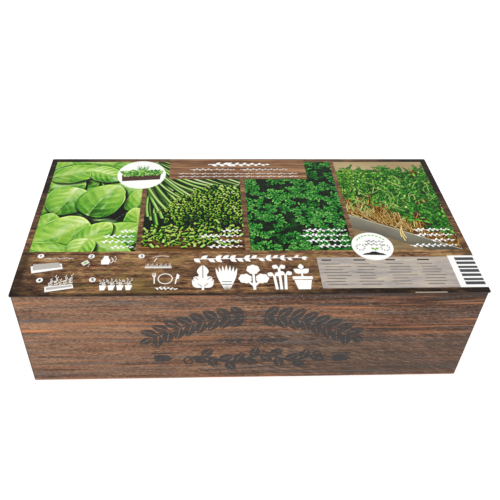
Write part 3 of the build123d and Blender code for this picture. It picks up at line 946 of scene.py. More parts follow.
def bend(points, bow):
    points = np.array(points, float)
    length = max(points[:, 0].max(), 0.1)
    points[:, 1] += bow * np.sin(np.pi * np.clip(points[:, 0] / length, 0, 1))
    return points


# A stem with leaves on alternate sides or in pairs, from (0, 0) along +u
def sprigShapes(length, leafLength, leafWidth, count, stem=0.4, spread=48, gap=0.0, bow=0.0, pairs=False):
    line = bend(np.stack([np.linspace(0, length, 16), np.zeros(16)], 1), bow)
    shapes = [strokeShape(line, stem, 0.5)]
    for index in range(count):
        share = (index + 0.6) / (count + 0.3)
        base = line[min(15, round(share * 15))]
        size = 1 - 0.35 * share ** 2
        for side in (1, -1) if pairs else ((1,) if index % 2 else (-1,)):
            for piece in leafShapes(leafLength * size, leafWidth * size, gap):
                shapes.append(turnShape(piece, base, side * spread))
    end = leafShapes(leafLength * 0.75, leafWidth * 0.75, gap)
    return shapes + [turnShape(piece, line[-1]) for piece in end]


ink = {
    "white": "#FBFBF8", "grey": "#B9B4AE", "soft": "#E3DFDA", "rule": "#6E6762", "black": "#2E2A28",
    "green": "#7DB83C", "red": "#B5483A", "planter": "#4A3128", "planterTop": "#6B4A3B",
    "stripe": "#45464A", "block": "#F8F7F5", "tie": "#3A2B22", "sprig": "#6C6F2C", "scuff": "#C9B6A6",
    "soil": "#1D1B1A", "clod": "#8C8E90", "greyLeaf": "#7E8184", "plain": "#FFFFFF",
}


def moved(shapes, centre=(0, 0), angle=0.0, colour="white", size=1.0):
    return [(turnShape(shape, centre, angle, size), colour) for shape in shapes]


# Every shape is a thin plate with its own height, so a later one lies over those before it
def inkShapes(name, shapes, toSpace, base, lift, body, slotName, material, step=0.0002):
    corners, faces, colours = [], [], []
    for index, (points, colour) in enumerate(shapes):
        points = np.asarray(points, float)
        after = np.roll(points, -1, axis=0)
        if np.sum(points[:, 0] * after[:, 1] - after[:, 0] * points[:, 1]) < 0:
            points = points[::-1]
        first, count = len(corners), len(points)
        for height in (lift + index * step, base):
            corners += [toSpace(a, b, height) for a, b in points]
        faces.append(tuple(range(first, first + count)))
        faces.append(tuple(range(first + count, first + 2 * count))[::-1])
        for i in range(first, first + count):
            j = first + (i + 1 - first) % count
            faces.append((i, i + count, j + count, j))
        colours += [linear(ink.get(colour, colour))[:3]] * (2 * count)
    mesh = bpy.data.meshes.new(name)
    mesh.from_pydata(corners, [], faces)
    colourMesh(mesh, colours)
    finishPiece(mesh, body, slotName, material)


def lidPrint(name, shapes, material=inkedCard):
    inkShapes("lid_" + name, shapes, onLid, press["underside"], press["lifts"][name], "lid", "printed_card",
              material)


# The only signs on the lid: the numbers of the growing steps, drawn in straight strokes
digits = {
    1: ((-0.5, 0.5), (0.1, 1.0), (0.1, -1.0)),
    2: ((-0.6, 0.6), (-0.2, 1.0), (0.4, 0.9), (0.6, 0.4), (0.2, -0.2), (-0.6, -0.95), (0.7, -0.95)),
    3: ((-0.6, 0.8), (0, 1.0), (0.5, 0.7), (0.4, 0.2), (0, 0.05), (0.5, -0.2), (0.5, -0.7), (0, -1.0),
        (-0.6, -0.8)),
    4: ((0.3, -1.0), (0.3, 1.0), (-0.6, -0.35), (0.7, -0.35)),
    5: ((0.6, 0.95), (-0.4, 0.95), (-0.5, 0.1), (0.1, 0.3), (0.6, -0.1), (0.5, -0.8), (0, -1.0),
        (-0.6, -0.8)),
}
stepPlaces = {1: (12.7, 36.5), 2: (46, 35.9), 3: (79.1, 35.9), 4: (16.2, 13.7), 5: (49.5, 13.7)}


def rayShape(length, width):
    return [strokeShape([(0, 0), (length, 0)], width)]


# White line drawings of the growing steps
def stepDrawings():
    shapes, numbers = [], []
    for number, centre in stepPlaces.items():
        shapes += moved([discShape(2.1)], centre)
        line = digits[number]
        numbers += moved([strokeShape(pair, 0.42) for pair in zip(line, line[1:])], centre, 0, "black", 1.15)
    # a tray filled with compost
    shapes += moved([[(8, 26.5), (9.8, 20), (29, 24), (27.5, 29)]])
    shapes += moved([[(9.2, 28.4), (10, 22.6), (28.2, 25.6), (25.5, 30.2)]], colour="grey")
    for index in range(5):
        root = (18 + 3.2 * index, 34.2 + 0.6 * (index % 2))
        shapes += moved(sprigShapes(3.2, 1.2, 0.6, 2, 0.25), root, -8, "soft")
    shapes += moved([strokeShape(bend([(0, 0), (2.2, 0), (4.4, 0)], 0.9), 0.35)], (15.5, 33.4))
    # a seed packet tipped over the tray
    shapes += moved([barShape((-2.4, -1.7), (2.4, 1.7))], (42.8, 29.6), 38, "soft")
    shapes += moved(leafShapes(2.8, 1.5), (41.8, 28.8), 38, "green")
    for seed in ((45.6, 27.8), (47.0, 26.4), (45.2, 26.2), (48.2, 28.0), (47.4, 24.8), (49.4, 25.6)):
        shapes += moved([discShape(0.42, 8)], seed, 0, "red" if seed[0] > 46.5 else "soft")
    # a watering jug with its handle and falling drops
    jug = [(53.4, 28), (58.2, 28), (59.0, 31.5), (57.4, 34.6), (54.2, 34.6), (52.8, 31.5)]
    shapes += moved([jug, barShape((54.3, 34.5), (57.3, 36.2))])
    handle = np.radians(np.linspace(-75, 75, 12))
    handle = np.stack([2.3 * np.cos(handle), 2.6 * np.sin(handle)], 1)
    shapes += moved([strokeShape(handle, 0.5)], (58.4, 31.8))
    for drop in ((61.6, 34.6), (62.4, 32.4), (61.8, 30.2)):
        shapes += moved(leafShapes(1.7, 0.8), drop, 75, "soft")
    # young plants under a fine spray
    shapes += moved([barShape((82, 24), (99.4, 25.6))], colour="soft")
    for index in range(18):
        kind = index % 3
        ray = rayShape(1.6 + 0.7 * kind, 0.3)
        shapes += moved(ray, (82.6 + 0.96 * index, 25.5), 90 + 9 * (kind - 1), "soft")
    spray = bend(np.stack([np.linspace(0, 11, 9), np.zeros(9)], 1), 1.1)
    shapes += moved([strokeShape(spray, 0.45)], (86.4, 34.4), 4, "soft")
    shapes += moved(rayShape(4.2, 0.5), (87.6, 30.2), 62)
    # the box with plants in it
    shapes += moved([[(21.3, 3), (38.6, 6.4), (37.4, 9.9), (20.4, 7.7)]])
    shapes += moved([[(22.1, 4.6), (37.6, 7.6), (37.0, 9.2), (21.4, 7.0)]], colour="grey")
    for index in range(9):
        plant = sprigShapes(5 + 1.3 * (index * 5 % 4), 1.9, 0.85, 4, 0.3)
        root = (22.4 + 1.75 * index, 7.6 + 0.3 * index)
        shapes += moved(plant, root, 78 + 7 * (index * 3 % 5 - 1), "soft")
    # four pots
    for index in range(4):
        left = 54.6 + 5.4 * index
        shapes += moved([[(left + 0.6, 4.2), (left + 3.4, 4.2), (left + 4.1, 7.4), (left, 7.4)],
                         barShape((left - 0.2, 7.4), (left + 4.3, 8.5))])
        for turn in (62, 90, 120):
            plant = sprigShapes(4.6 + (index % 2), 1.7, 0.75, 3, 0.3)
            shapes += moved(plant, (left + 2.05, 8.4), turn + 4 * index, "soft")
    # a plate between fork and knife, over a short sprig
    turns = np.linspace(0, 2 * math.pi, 41)
    shapes += moved([strokeShape(4.5 * np.stack([np.cos(turns), np.sin(turns)], 1), 0.6)], (95.7, 14.1))
    fork = [strokeShape([(0, 0), (0, 7.4)], 0.75)]
    fork += [strokeShape([(tine, 6.6), (tine, 9.4)], 0.4) for tine in (-0.9, 0, 0.9)]
    shapes += moved(fork + [barShape((-0.95, 6.1), (0.95, 7.0))], (88.9, 9.8), 3)
    knife = [strokeShape([(0, 0), (0, 9)], 0.8), [(0, 4), (1.4, 5), (1.5, 8), (0, 9.2)]]
    shapes += moved(knife, (102.2, 9.4), -8)
    shapes += moved(sprigShapes(13, 2.3, 1.0, 9, 0.35, 40), (89.4, 5.9), -4)
    lidPrint("step_drawings", shapes)
    lidPrint("step_numbers", numbers)


# Bold white herbs, one to each place along the lid's middle, with a leafy line above them
def herbOrnament():
    foot = 3.6
    # broad-leaved sprig
    shapes = moved(sprigShapes(9.4, 10.0, 7.6, 2, 1.5, 44, 0.5, pairs=True), (119.8, foot), 90)
    shapes += moved(leafShapes(11, 7.6, 0.5), (119.8, foot + 12.2), 90)
    # a tied bunch of blades
    for turn in (-15, -10, -5, 0, 5, 10, 15):
        blade = leafShapes(23.4 - abs(turn) * 0.16, 2.4, 0, 1.3)
        shapes += moved(blade, (135.2 + turn * 0.11, foot), 90 - turn)
    shapes += moved([barShape((132.0, foot + 4.6), (138.4, foot + 7.6))], colour="tie")
    shapes += moved([barShape((131.6, foot + 5.2), (138.8, foot + 7.0))])
    # curled leaf: round lobes on three short stalks
    for turn, reach in ((90, 15.6), (52, 9.0), (128, 9.0)):
        tip = polar((152.6, foot + 3), reach, turn)
        shapes += moved([strokeShape([(152.6, foot + 3), tip], 1.6)])
        for lobe in range(7):
            shapes += moved([discShape(1.85, 18)], polar(tip, 2.6, lobe * 360 / 7 + turn))
        shapes += moved([discShape(2.4, 20)], tip)
    shapes += moved([strokeShape([(152.6, foot), (152.6, foot + 7)], 1.9)])
    # seedlings with paired round leaves
    for left, height, lean in ((166.9, 12.5, 94), (169.7, 19.6, 90), (172.5, 13.5, 86)):
        tip = polar((left, foot), height, lean)
        shapes += moved([strokeShape([(left, foot), tip], 1.8)])
        for side in (28, 152):
            shapes += moved(leafShapes(4.9, 4.1, 0, 1.25), tip, side)
    # a pot with a young plant
    pot = [(180.4, foot), (188.2, foot), (190.0, foot + 8.4), (178.6, foot + 8.4)]
    shapes += moved([pot, barShape((177.8, foot + 9.0), (190.8, foot + 11.8))])
    shapes += moved(sprigShapes(6.8, 7.0, 5.0, 1, 1.4, 52, pairs=True), (184.3, foot + 11.6), 90)
    lidPrint("herb_ornament", shapes)
    lidPrint("leaf_line", moved(sprigShapes(72, 5.6, 3.0, 21, 0.9, 38), (114, 32.6), 0.6))


# Short leafy lines stand in the lower right of each picture, ranged right
def pictureCaptions():
    rows = {73.0: (11, 22, 23, 16), 147.0: (14, 30, 19, 24), 221.6: (31, 34, 30, 23),
            296.0: (27, 27, 17, 33)}
    shapes = []
    for right, lengths in rows.items():
        for index, length in enumerate(lengths):
            line = sprigShapes(length - 2, 2.9, 1.35, max(3, round(length / 2.3)), 0.45, 42)
            shapes += moved(line, (right - length, 62.0 - 5.6 * index))
    lidPrint("picture_captions", shapes)


# More printed planks: white-washed under the label, lighter ones behind the leafy lines at the back
def plainPlanks(name, stops, middle, *layers):
    material, tree, spot = newMaterial(name, varnish)
    mix = overlay(tree, middle, *((grain(tree, spot, *layer), strength) for layer, strength in layers))
    return finishMaterial(material, addNode(tree, "ValToRGB", mix, stops=stops))


label = {
    "wash": ((0.3, "#8F8B8C"), (0.44, "#AAA19B"), (0.56, "#B9AD9F"), (0.7, "#CDBFAF")),
    "low": (196, 4.2), "high": (285.3, 33.4), "block": (285.2, 34.4),
    "columns": 4, "rows": 8, "stripes": 7, "stripeWidths": (2.8, 2.1, 2.5), "stripePitch": 3.85,
}


def labelPanel():
    washed = plainPlanks("varnishedWhiteWashedPlanks", label["wash"], 0.5, (((24, 4, 9), 91, 4, 0.65), 1.0))
    ground = barShape(label["low"], label["high"])
    lidPrint("label_ground", moved([ground], colour="plain"), washed)
    left, top = label["block"]
    block = barShape((left, label["low"][1]), (printRight - 0.1, top))
    lidPrint("stripe_ground", moved([block], colour="block"))
    # plain rules stand in columns, each third one with a dot before it
    rules = []
    rng = np.random.default_rng(8)
    for column in range(label["columns"]):
        left = 199 + 21.6 * column
        rules += moved([barShape((left, 30.0), (left + 6.5 + 1.5 * (column % 2), 31.2))], colour="black")
        for row in range(label["rows"]):
            height = 26.8 - 2.75 * row
            length = rng.uniform(9, 17.5)
            start = left + 1.2 * (row % 3 != 0)
            rule = barShape((start, height - 0.32), (start + length, height + 0.32))
            rules += moved([rule], colour="rule")
            if row % 3 == 0:
                rules += moved([discShape(0.35, 8)], (left - 0.9, height), 0, "rule")
    # evenly spaced plain stripes on the white block
    for index in range(label["stripes"]):
        height = 6.6 + label["stripePitch"] * index
        width = label["stripeWidths"][index % 3]
        rules += moved([barShape((289.4, height), (printRight - 1.0, height + width))], colour="stripe")
    lidPrint("label_rules", rules)


def banner():
    stops = ((0.2, "#4A2E1E"), (0.5, "#815B3F"), (0.8, "#BE9268"))
    planks = plainPlanks("varnishedPrintedLightPlanks", stops, 0.48, (((45, 3.2, 9), 77, 4, 0.6), 1.2),
                         (((14, 1.1, 9), 81, 3, 0.6), 0.6))
    lidPrint("banner", moved([barShape((94, 124.8), (202, 152.4))], colour="plain"), planks)
    shapes = moved(sprigShapes(46, 5.0, 2.4, 15, 1.0, 34), (124.5, 145.2))
    for left, length in ((110, 34), (150, 36)):
        line = sprigShapes(length, 2.6, 1.3, round(length / 2.6), 0.5, 36)
        shapes += moved(line, (left, 138.0), 0, "soft")
    for height in (132.4, 128.4):
        for index in range(11):
            shapes += moved(sprigShapes(6.8, 2.0, 1.0, 3, 0.45, 34), (101 + 8.6 * index, height), 0, "soft")
    lidPrint("banner_leaves", shapes)


discs = {
    "planter": ((72.4, 131.0), 18.8, 72), "soil": ((236.4, 44.6), 14.3, 64),  # centre, radius and sides
    "greens": ("#2F6B1F", "#4D8F2E", "#6FB03E", "#93C95A", "#3C7A34", "#5DA24A", "#B7D97A"),
    "blades": ("#3F7A3C", "#5C9A50", "#8FBF83"),
}


# A long planter crowded with herbs
def planterDrawing(middle):
    rng = np.random.default_rng(13)
    greens = discs["greens"]
    shapes = []
    for index in range(34):
        root = (middle[0] + rng.uniform(-2.2, 2.6), middle[1] + 0.6 + rng.uniform(-1, 1))
        blade = leafShapes(rng.uniform(8, 13.5), 0.55)
        shapes += moved(blade, root, rng.uniform(62, 118), discs["blades"][index % 3])
    for index in range(240):
        share = rng.uniform(-14.4, 14.4)
        height = rng.uniform(-1.2, 5.4) * (1 - 0.25 * abs(share) / 13)
        root = (middle[0] + share, middle[1] + 0.2 + height + 0.05 * share)
        leaf = leafShapes(rng.uniform(2.0, 3.8), rng.uniform(1.1, 2.2))
        shapes += moved(leaf, root, rng.uniform(15, 165), greens[rng.integers(len(greens))])
    box = [(-14.8, -8.4), (14.2, -7.0), (15.0, -0.2), (-15.2, -1.2)]
    shapes += moved([box], middle, 2, "planter")
    shapes += moved([strokeShape([(-15.4, -1.1), (15.2, -0.1)], 0.8)], middle, 2, "planterTop")
    for index in range(46):
        share = rng.uniform(-14.4, 14.2)
        root = (middle[0] + share, middle[1] - 1.2 + 0.09 * share + rng.uniform(-0.2, 0.9))
        leaf = leafShapes(rng.uniform(1.8, 3.0), rng.uniform(1.0, 1.8))
        shapes += moved(leaf, root, rng.uniform(-40, 220), greens[rng.integers(len(greens))])
    lidPrint("planter_drawing", shapes)


# A soil heap with a sprout between two clods, under an arc of leaves
def soilDrawing(middle):
    marks = []
    for turn in np.linspace(150, 36, 18)[0:17:2]:
        marks += moved(leafShapes(2.4, 1.1), polar(middle, 11.4, turn), turn - 90, "green")
    heap = [(-8.6, -9.2), (8.2, -9.2), (6.2, -7.4), (3.8, -6.8), (1.6, -5.7), (-1.2, -5.6), (-3.4, -6.9),
            (-6.4, -7.6)]
    marks += moved([heap], middle, -2, "soil")
    for side in (35, 145):
        marks += moved(leafShapes(3.4, 1.9), (middle[0] + 1.2, middle[1] - 3.6), side, "green")
    marks += moved([strokeShape([(1.2, -5.6), (1.2, -3.2)], 0.5)], middle, 0, "green")
    for a, b in ((-8.4, -1.2), (8.6, -1.8)):
        for turn in range(0, 360, 40):
            spot = polar((middle[0] + a, middle[1] + b), 2.088, turn)
            marks += moved(leafShapes(1.9, 1.0), spot, turn + 30, "clod")
    for a, b, length in ((-4.6, 5.4, 12), (-5.8, 2.2, 13.5)):
        line = sprigShapes(length, 2.4, 1.15, 7, 0.4, 38)
        marks += moved(line, (middle[0] + a, middle[1] + b), -4, "greyLeaf")
    lidPrint("soil_drawing", marks)


def whiteDiscs():
    shapes = []
    for middle, radius, sides in (discs["planter"], discs["soil"]):
        shapes += moved([discShape(radius, sides)], middle)
    lidPrint("discs", shapes)
    planterDrawing(discs["planter"][0])
    soilDrawing(discs["soil"][0])


def finePlants():
    shapes = []
    for centre, angle, size in (((41.5, 5.2), 20, 1.0), ((61, 23.6), -160, 1.15), ((67, 25.0), 15, 0.9),
                                ((73.2, 35), 190, 0.9), ((31, 26.4), -12, 0.8), ((106, 30), 25, 0.7)):
        shapes += moved(sprigShapes(9, 1.7, 0.8, 5, 0.3, 40, bow=1.8), centre, angle, "sprig", size)
    lidPrint("fine_sprigs", shapes)
    # the sheet is rubbed white along a short length of its front edge
    lidPrint("edge_scuff", moved([barShape((254.4, -0.3), (275.0, 0.3))], colour="scuff"))


print("lid print")
stepDrawings()
herbOrnament()
pictureCaptions()
labelPanel()
banner()
whiteDiscs()
finePlants()


# Millimetres along, up and out of a board's outer face become a place in the scene
def onBoard(node):
    low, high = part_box(node)
    side = -1 if node in ("front_board", "left_end_board") else 1
    corner = low if side < 0 else high

    def place(a, b, height):
        if "end" in node:
            return corner.x + side * height * mm, side * a * mm, b * mm
        return -side * a * mm, corner.y + side * height * mm, b * mm

    return place


# The stamp on the front board: a garland arch over a flowing vine, in worn slate ink
stamp = {"centre": (1.5, -53.7), "radius": 118.4, "spread": 34.5, "leaf": (12.6, 7.6), "lift": 0.035}


def curlShape(radius, width):
    turns = np.linspace(0, 2.2 * math.pi, 26)
    reach = radius * np.linspace(1, 0.25, 26)
    return strokeShape(np.stack([reach * np.cos(turns), reach * np.sin(turns)], 1), width, 0.7)


def garlandShapes():
    centre, radius = stamp["centre"], stamp["radius"]
    length, width = stamp["leaf"]
    shapes = []
    for side in (-1, 1):
        turns = 90 - side * np.linspace(2.2, stamp["spread"], 30)
        arc = [polar(centre, radius, turn) for turn in turns]
        shapes.append(strokeShape(arc, 1.5, 0.6))
        for index in range(8):
            turn = 90 - side * (3.6 + 4.05 * index)
            for spread in (54, -54):
                for half in leafShapes(length, width, 0.6, 0.9):
                    shapes.append(turnShape(half, polar(centre, radius, turn), turn - side * 90 + spread))
            shapes.append(turnShape(discShape(0.8, 12), polar(centre, radius + 8.4, turn + side * 1.6)))
        for half in leafShapes(length * 0.8, width * 0.8, 0.7, 0.9):
            shapes.append(turnShape(half, arc[-1], turns[-1] - side * 90))
    # small centre mark: a bead between two short sprigs
    shapes.append(turnShape(discShape(1.5, 16), (0.5, 40.6)))
    mark = sprigShapes(18, 5.4, 1.7, 4, 0.8, 26, pairs=True)
    for left, turn in ((3.5, 0), (-2.5, 180)):
        shapes += [turnShape(shape, (left, 40.6), turn) for shape in mark]
    return shapes


# One wavy stem with leaves along it, a curl at each end and a thin line below
def vineShapes():
    run = np.linspace(-41, 44, 60)
    wave = 21.6 + 3.4 * np.sin((run + 41) / 85 * 4 * math.pi + 0.4) + 0.03 * run
    vine = np.stack([run, wave], 1)
    shapes = [strokeShape(vine, 2.6, 0.75)]
    for index in range(15):
        at = 2 + index * 4
        slope = math.degrees(math.atan2(wave[at + 1] - wave[at - 1], run[at + 1] - run[at - 1]))
        side = 1 if index % 2 else -1
        for half in leafShapes(11.4, 7.4, 0.6):
            shapes.append(turnShape(half, vine[at], slope + side * 50))
        if index % 3 == 1:
            shapes.append(turnShape(discShape(1.05, 14), vine[at] + (1.6, -side * 3.6)))
    shapes.append(turnShape(curlShape(4.6, 1.6), (-41, 19.4), 80))
    shapes.append(turnShape(curlShape(4.2, 1.5), (46.2, 25.4), 250))
    under = np.linspace(-34, 46, 30)
    level = 11.6 - 2.4 * np.cos((under + 34) / 80 * math.pi)
    return shapes + [strokeShape(np.stack([under, level], 1), 1.3, 0.3)]


def frontStamp():
    shapes = garlandShapes() + vineShapes()
    # small side marks between rules
    mark = sprigShapes(10.5, 5.4, 3.4, 4, 1.0, 46, pairs=True)
    for left, foot, top in ((-67, 17, 28.6), (56.5, 15, 26.7)):
        shapes.append(barShape((left, foot), (left + 14, foot + 1.1)))
        shapes.append(barShape((left, top - 1.1), (left + 14, top)))
        shapes += [turnShape(shape, (left + 0.6, (foot + top) / 2)) for shape in mark]
    worn = stainedPine("wornStampInkOnPine", 0, 4.0, isFront=True, isStamp=True)
    inkShapes("front_stamp", moved(shapes, colour="plain"), onBoard("front_board"), -0.02, stamp["lift"],
              "box", "stained_pine", worn, 0.0001)


print("front stamp")
frontStamp()


# The brad holes are stopped with filler and stained over with the boards
stopping = {"size": (2.2, 1.5), "heights": (15.3, 42.5, 69.7), "cornerX": 146, "baseX": 85, "baseZ": 2.0}


def bradStopping():
    wide, high = stopping["size"]
    patch = barShape((-wide / 2, -high / 2), (wide / 2, high / 2))
    long = [(side * stopping["cornerX"], height) for side in (-1, 1) for height in stopping["heights"]]
    long += [(side * stopping["baseX"], stopping["baseZ"]) for side in (-1, 1)]
    short = [(0, stopping["baseZ"])]
    for node, spots in (("front_board", long), ("back_board", long), ("left_end_board", short),
                        ("right_end_board", short)):
        shapes = [(turnShape(patch, spot), "plain") for spot in spots]
        inkShapes(node + "_stopping", shapes, onBoard(node), -0.3, 0.01, "box", "stained_pine",
                  cadNodes[node].data.materials[0], 0.0)


print("brad stopping")
bradStopping()


# Compressed coconut coir: rough brown blocks with loose fibres standing out of the pressed face
coir = {
    "pitch": 1.3, "pits": 0.9, "rounding": 2.4, "fibreRadius": 0.14, "fibres": 170, "levels": 6,
    "grains": (((6, 0.5, 0.5), 3), ((0.6, 5, 0.5), 9), ((1.6, 1.6, 1.6), 15)),
    "shades": ((0.2, "#2E1D12"), (0.42, "#533521"), (0.6, "#7A5435"), (0.85, "#A9804F")),
}


# Matt and dark in its pits; the loose fibres are the same stuff, lighter because they catch the light
def coconutCoir(name, isLoose=False):
    material, tree, spot = newMaterial(name, {"Roughness": 0.92, "IOR": 1.5, "Specular IOR Level": 0.2})
    layers = [(grain(tree, spot, sizes, shift, 3, 0.6), 0.7) for sizes, shift in coir["grains"]]
    mix = overlay(tree, 0.5, *layers)
    if isLoose:
        mix = overlay(tree, 0.7, (mix, 0.7))
    return finishMaterial(material, addNode(tree, "ValToRGB", mix, stops=coir["shades"]), mix, 0.8, 0.5)


# Every line becomes a closed tube
def tubeMesh(name, lines, radius, sides=4):
    turns = [2 * math.pi * k / sides for k in range(sides)]
    corners, faces = [], []
    for line in lines:
        run = np.gradient(line, axis=0)
        across = np.cross(run, (0, 0, 1.0))
        across /= np.linalg.norm(across, axis=1)[:, None]
        up = np.cross(across, run)
        up /= np.linalg.norm(up, axis=1)[:, None]
        first = len(corners)
        for spot, a, b in zip(line, across, up):
            corners += [tuple(spot + radius * (math.cos(turn) * a + math.sin(turn) * b)) for turn in turns]
        last = len(corners) - sides
        for base in range(first, last, sides):
            for k in range(sides):
                a, b = base + k, base + (k + 1) % sides
                faces.append((a, b, b + sides, a + sides))
        faces.append(tuple(range(first, first + sides))[::-1])
        faces.append(tuple(range(last, last + sides)))
    mesh = bpy.data.meshes.new(name)
    mesh.from_pydata(corners, [], faces)
    mesh.shade_smooth()
    return mesh


# How far each point of a grid lies from the sheet's nearest edge
def fromEdge(a, b, width, depth):
    return np.minimum(np.minimum(a, width - a), np.minimum(b, depth - b))


def makeCoirBlock(herb, seed, blockMaterial, fibreMaterial):
    low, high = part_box(herb + "_coir_block")
    width, depth = (high.x - low.x) / mm, (high.y - low.y) / mm
    columns, rows = round(width / coir["pitch"]) + 1, round(depth / coir["pitch"]) + 1
    a, b = np.meshgrid(np.linspace(0, width, columns), np.linspace(0, depth, rows))
    share = np.clip(fromEdge(a, b, width, depth) / coir["rounding"], 0, 1)
    sink = coir["rounding"] * (1 - np.sqrt(np.clip(1 - (1 - share) ** 2, 0, 1)))
    pits = 0.55 * valueNoise(a / 3, b / 3, seed, 3) + 0.45 * valueNoise(a / 1.1, b / 7, seed + 9, 2)
    heights = high.z - (0.3 + sink + coir["pits"] * pits) * mm

    def jitter(layer, level):
        rough = valueNoise(layer[:, 0] / mm / 2 + level, layer[:, 1] / mm / 2, seed + level, 2)
        return (0.1 + 0.6 * rough) * mm

    mesh = reliefBlock(herb + "_pressed_coir", low.x + a * mm, low.y + b * mm, heights, low.z,
                       coir["levels"], jitter)[0]
    mesh.shade_smooth()
    finishPiece(mesh, "tray", "coir", blockMaterial, herb + "_coir_block")
    rng = np.random.default_rng(seed)
    lines = []
    for index in range(coir["fibres"]):
        reach = rng.uniform(3, 7)
        middle = (rng.uniform(reach + 1, width - reach - 1), rng.uniform(reach + 1, depth - reach - 1))
        turn, bow = math.degrees(rng.uniform(0, math.pi)), rng.uniform(-2.2, 2.2)
        share = np.linspace(-1, 1, 7)
        arch = 1 - share ** 2
        spots = turnShape(np.stack([share * reach, bow * arch], 1), middle, turn)
        sunk = 0.75 - 0.35 * arch * rng.uniform(0.2, 1)
        lines.append(np.stack([low.x + spots[:, 0] * mm, low.y + spots[:, 1] * mm, high.z - sunk * mm], 1))
    fibres = tubeMesh(herb + "_coir_fibres", lines, coir["fibreRadius"] * mm)
    finishPiece(fibres, "tray", "coir", fibreMaterial)


print("coir blocks")
pressed, looseFibre = coconutCoir("pressedCoconutCoir"), coconutCoir("looseCoconutFibre", True)
for index, herb in enumerate(herbs):
    makeCoirBlock(herb, 300 + 20 * index, pressed, looseFibre)


# Machine-glazed kraft paper packets: pale brown, softly creased, with one printed herb and a green flap
packet = {
    "pitch": 0.45, "seam": 6.0, "belly": 1.15, "sheet": 0.4, "flap": 14.0, "flapStep": 0.22, "clipped": 1.0,
    "paper": "#CDB38A", "panel": "#F1EBDD", "frame": "#5D7F3A", "crimp": "#8A6E48",
    "panelMargin": 9, "panelMiddle": 40, "panelHalf": 22,
    "flaps": {"basil": "#5E8F3A", "chives": "#3F7C4A", "parsley": "#2F6B3A", "cress": "#8AA03C"},
    # basil leaves: centre and direction of the tip
    "leaves": ((22, 34, 200), (38, 33, -15), (24, 44, 150), (36, 45, 30), (30, 50, 92), (30, 40, 60)),
}


def glazedKraft():
    material, tree, spot = newMaterial("machineGlazedKraft", {"Roughness": 0.55, "IOR": 1.5,
                                                              "Specular IOR Level": 0.3})
    pulp = grain(tree, spot, (0.9, 2.6, 2), 6, 3, 0.6)
    return finishMaterial(material, inkColour(tree, pulp, (0.25, 0.92, 1.06)), pulp, 0.15, 0.1)


def packetHerb(picture, herb, rng):
    if herb == "basil":
        for index, (u, v, turn) in enumerate(packet["leaves"]):
            paintBasilLeaf(picture, (u, v, turn, 19, 13, 0.0, 1), 700 + index)
    elif herb == "chives":
        for index in range(34):
            top = (30 + rng.normal(0, 8), 56 + rng.normal(0, 3))
            paintTube(picture, (30 + rng.normal(0, 1.6), 24), top, 1.3, chivesPrint["greens"],
                      rng.uniform(0.35, 0.7), rng.uniform(-2, 2), 0.3)
        paintTube(picture, (25.5, 32), (34.5, 32), 1.8, chivesPrint["cut"], 0.8, 0, 0.4)
    elif herb == "parsley":
        for root, tip in (((30, 24), (30, 46)), ((30, 30), (21, 41)), ((30, 30), (39, 41))):
            paintTube(picture, root, tip, 1.2, chivesPrint["greens"], 0.5, 0, 0.2)
            heading = math.degrees(math.atan2(tip[1] - root[1], tip[0] - root[0]))
            paintParsleyLeaf(picture, tip, heading, 0.95, 1.0, rng)
    else:
        for index in range(26):
            root, height = 30 + rng.normal(0, 4), rng.uniform(12, 26)
            tip = (root + rng.normal(0, 4), 25 + height)
            paintTube(picture, (root, 24), tip, 0.6, cressPrint["stems"], 0.8, 0, 0)
            for turn in (rng.uniform(10, 50), rng.uniform(130, 170)):
                where, along, across = nearby(picture, polar(tip, 1.9, turn), 3, turn)
                q = np.hypot(along / 2.1, across / 1.3)
                value = 0.75 - 0.3 * q ** 2 + 0.2 * (across > 0)
                paint(picture, where, fade(q, 1.15, 0.85), shade(value, cressPrint["greens"]))


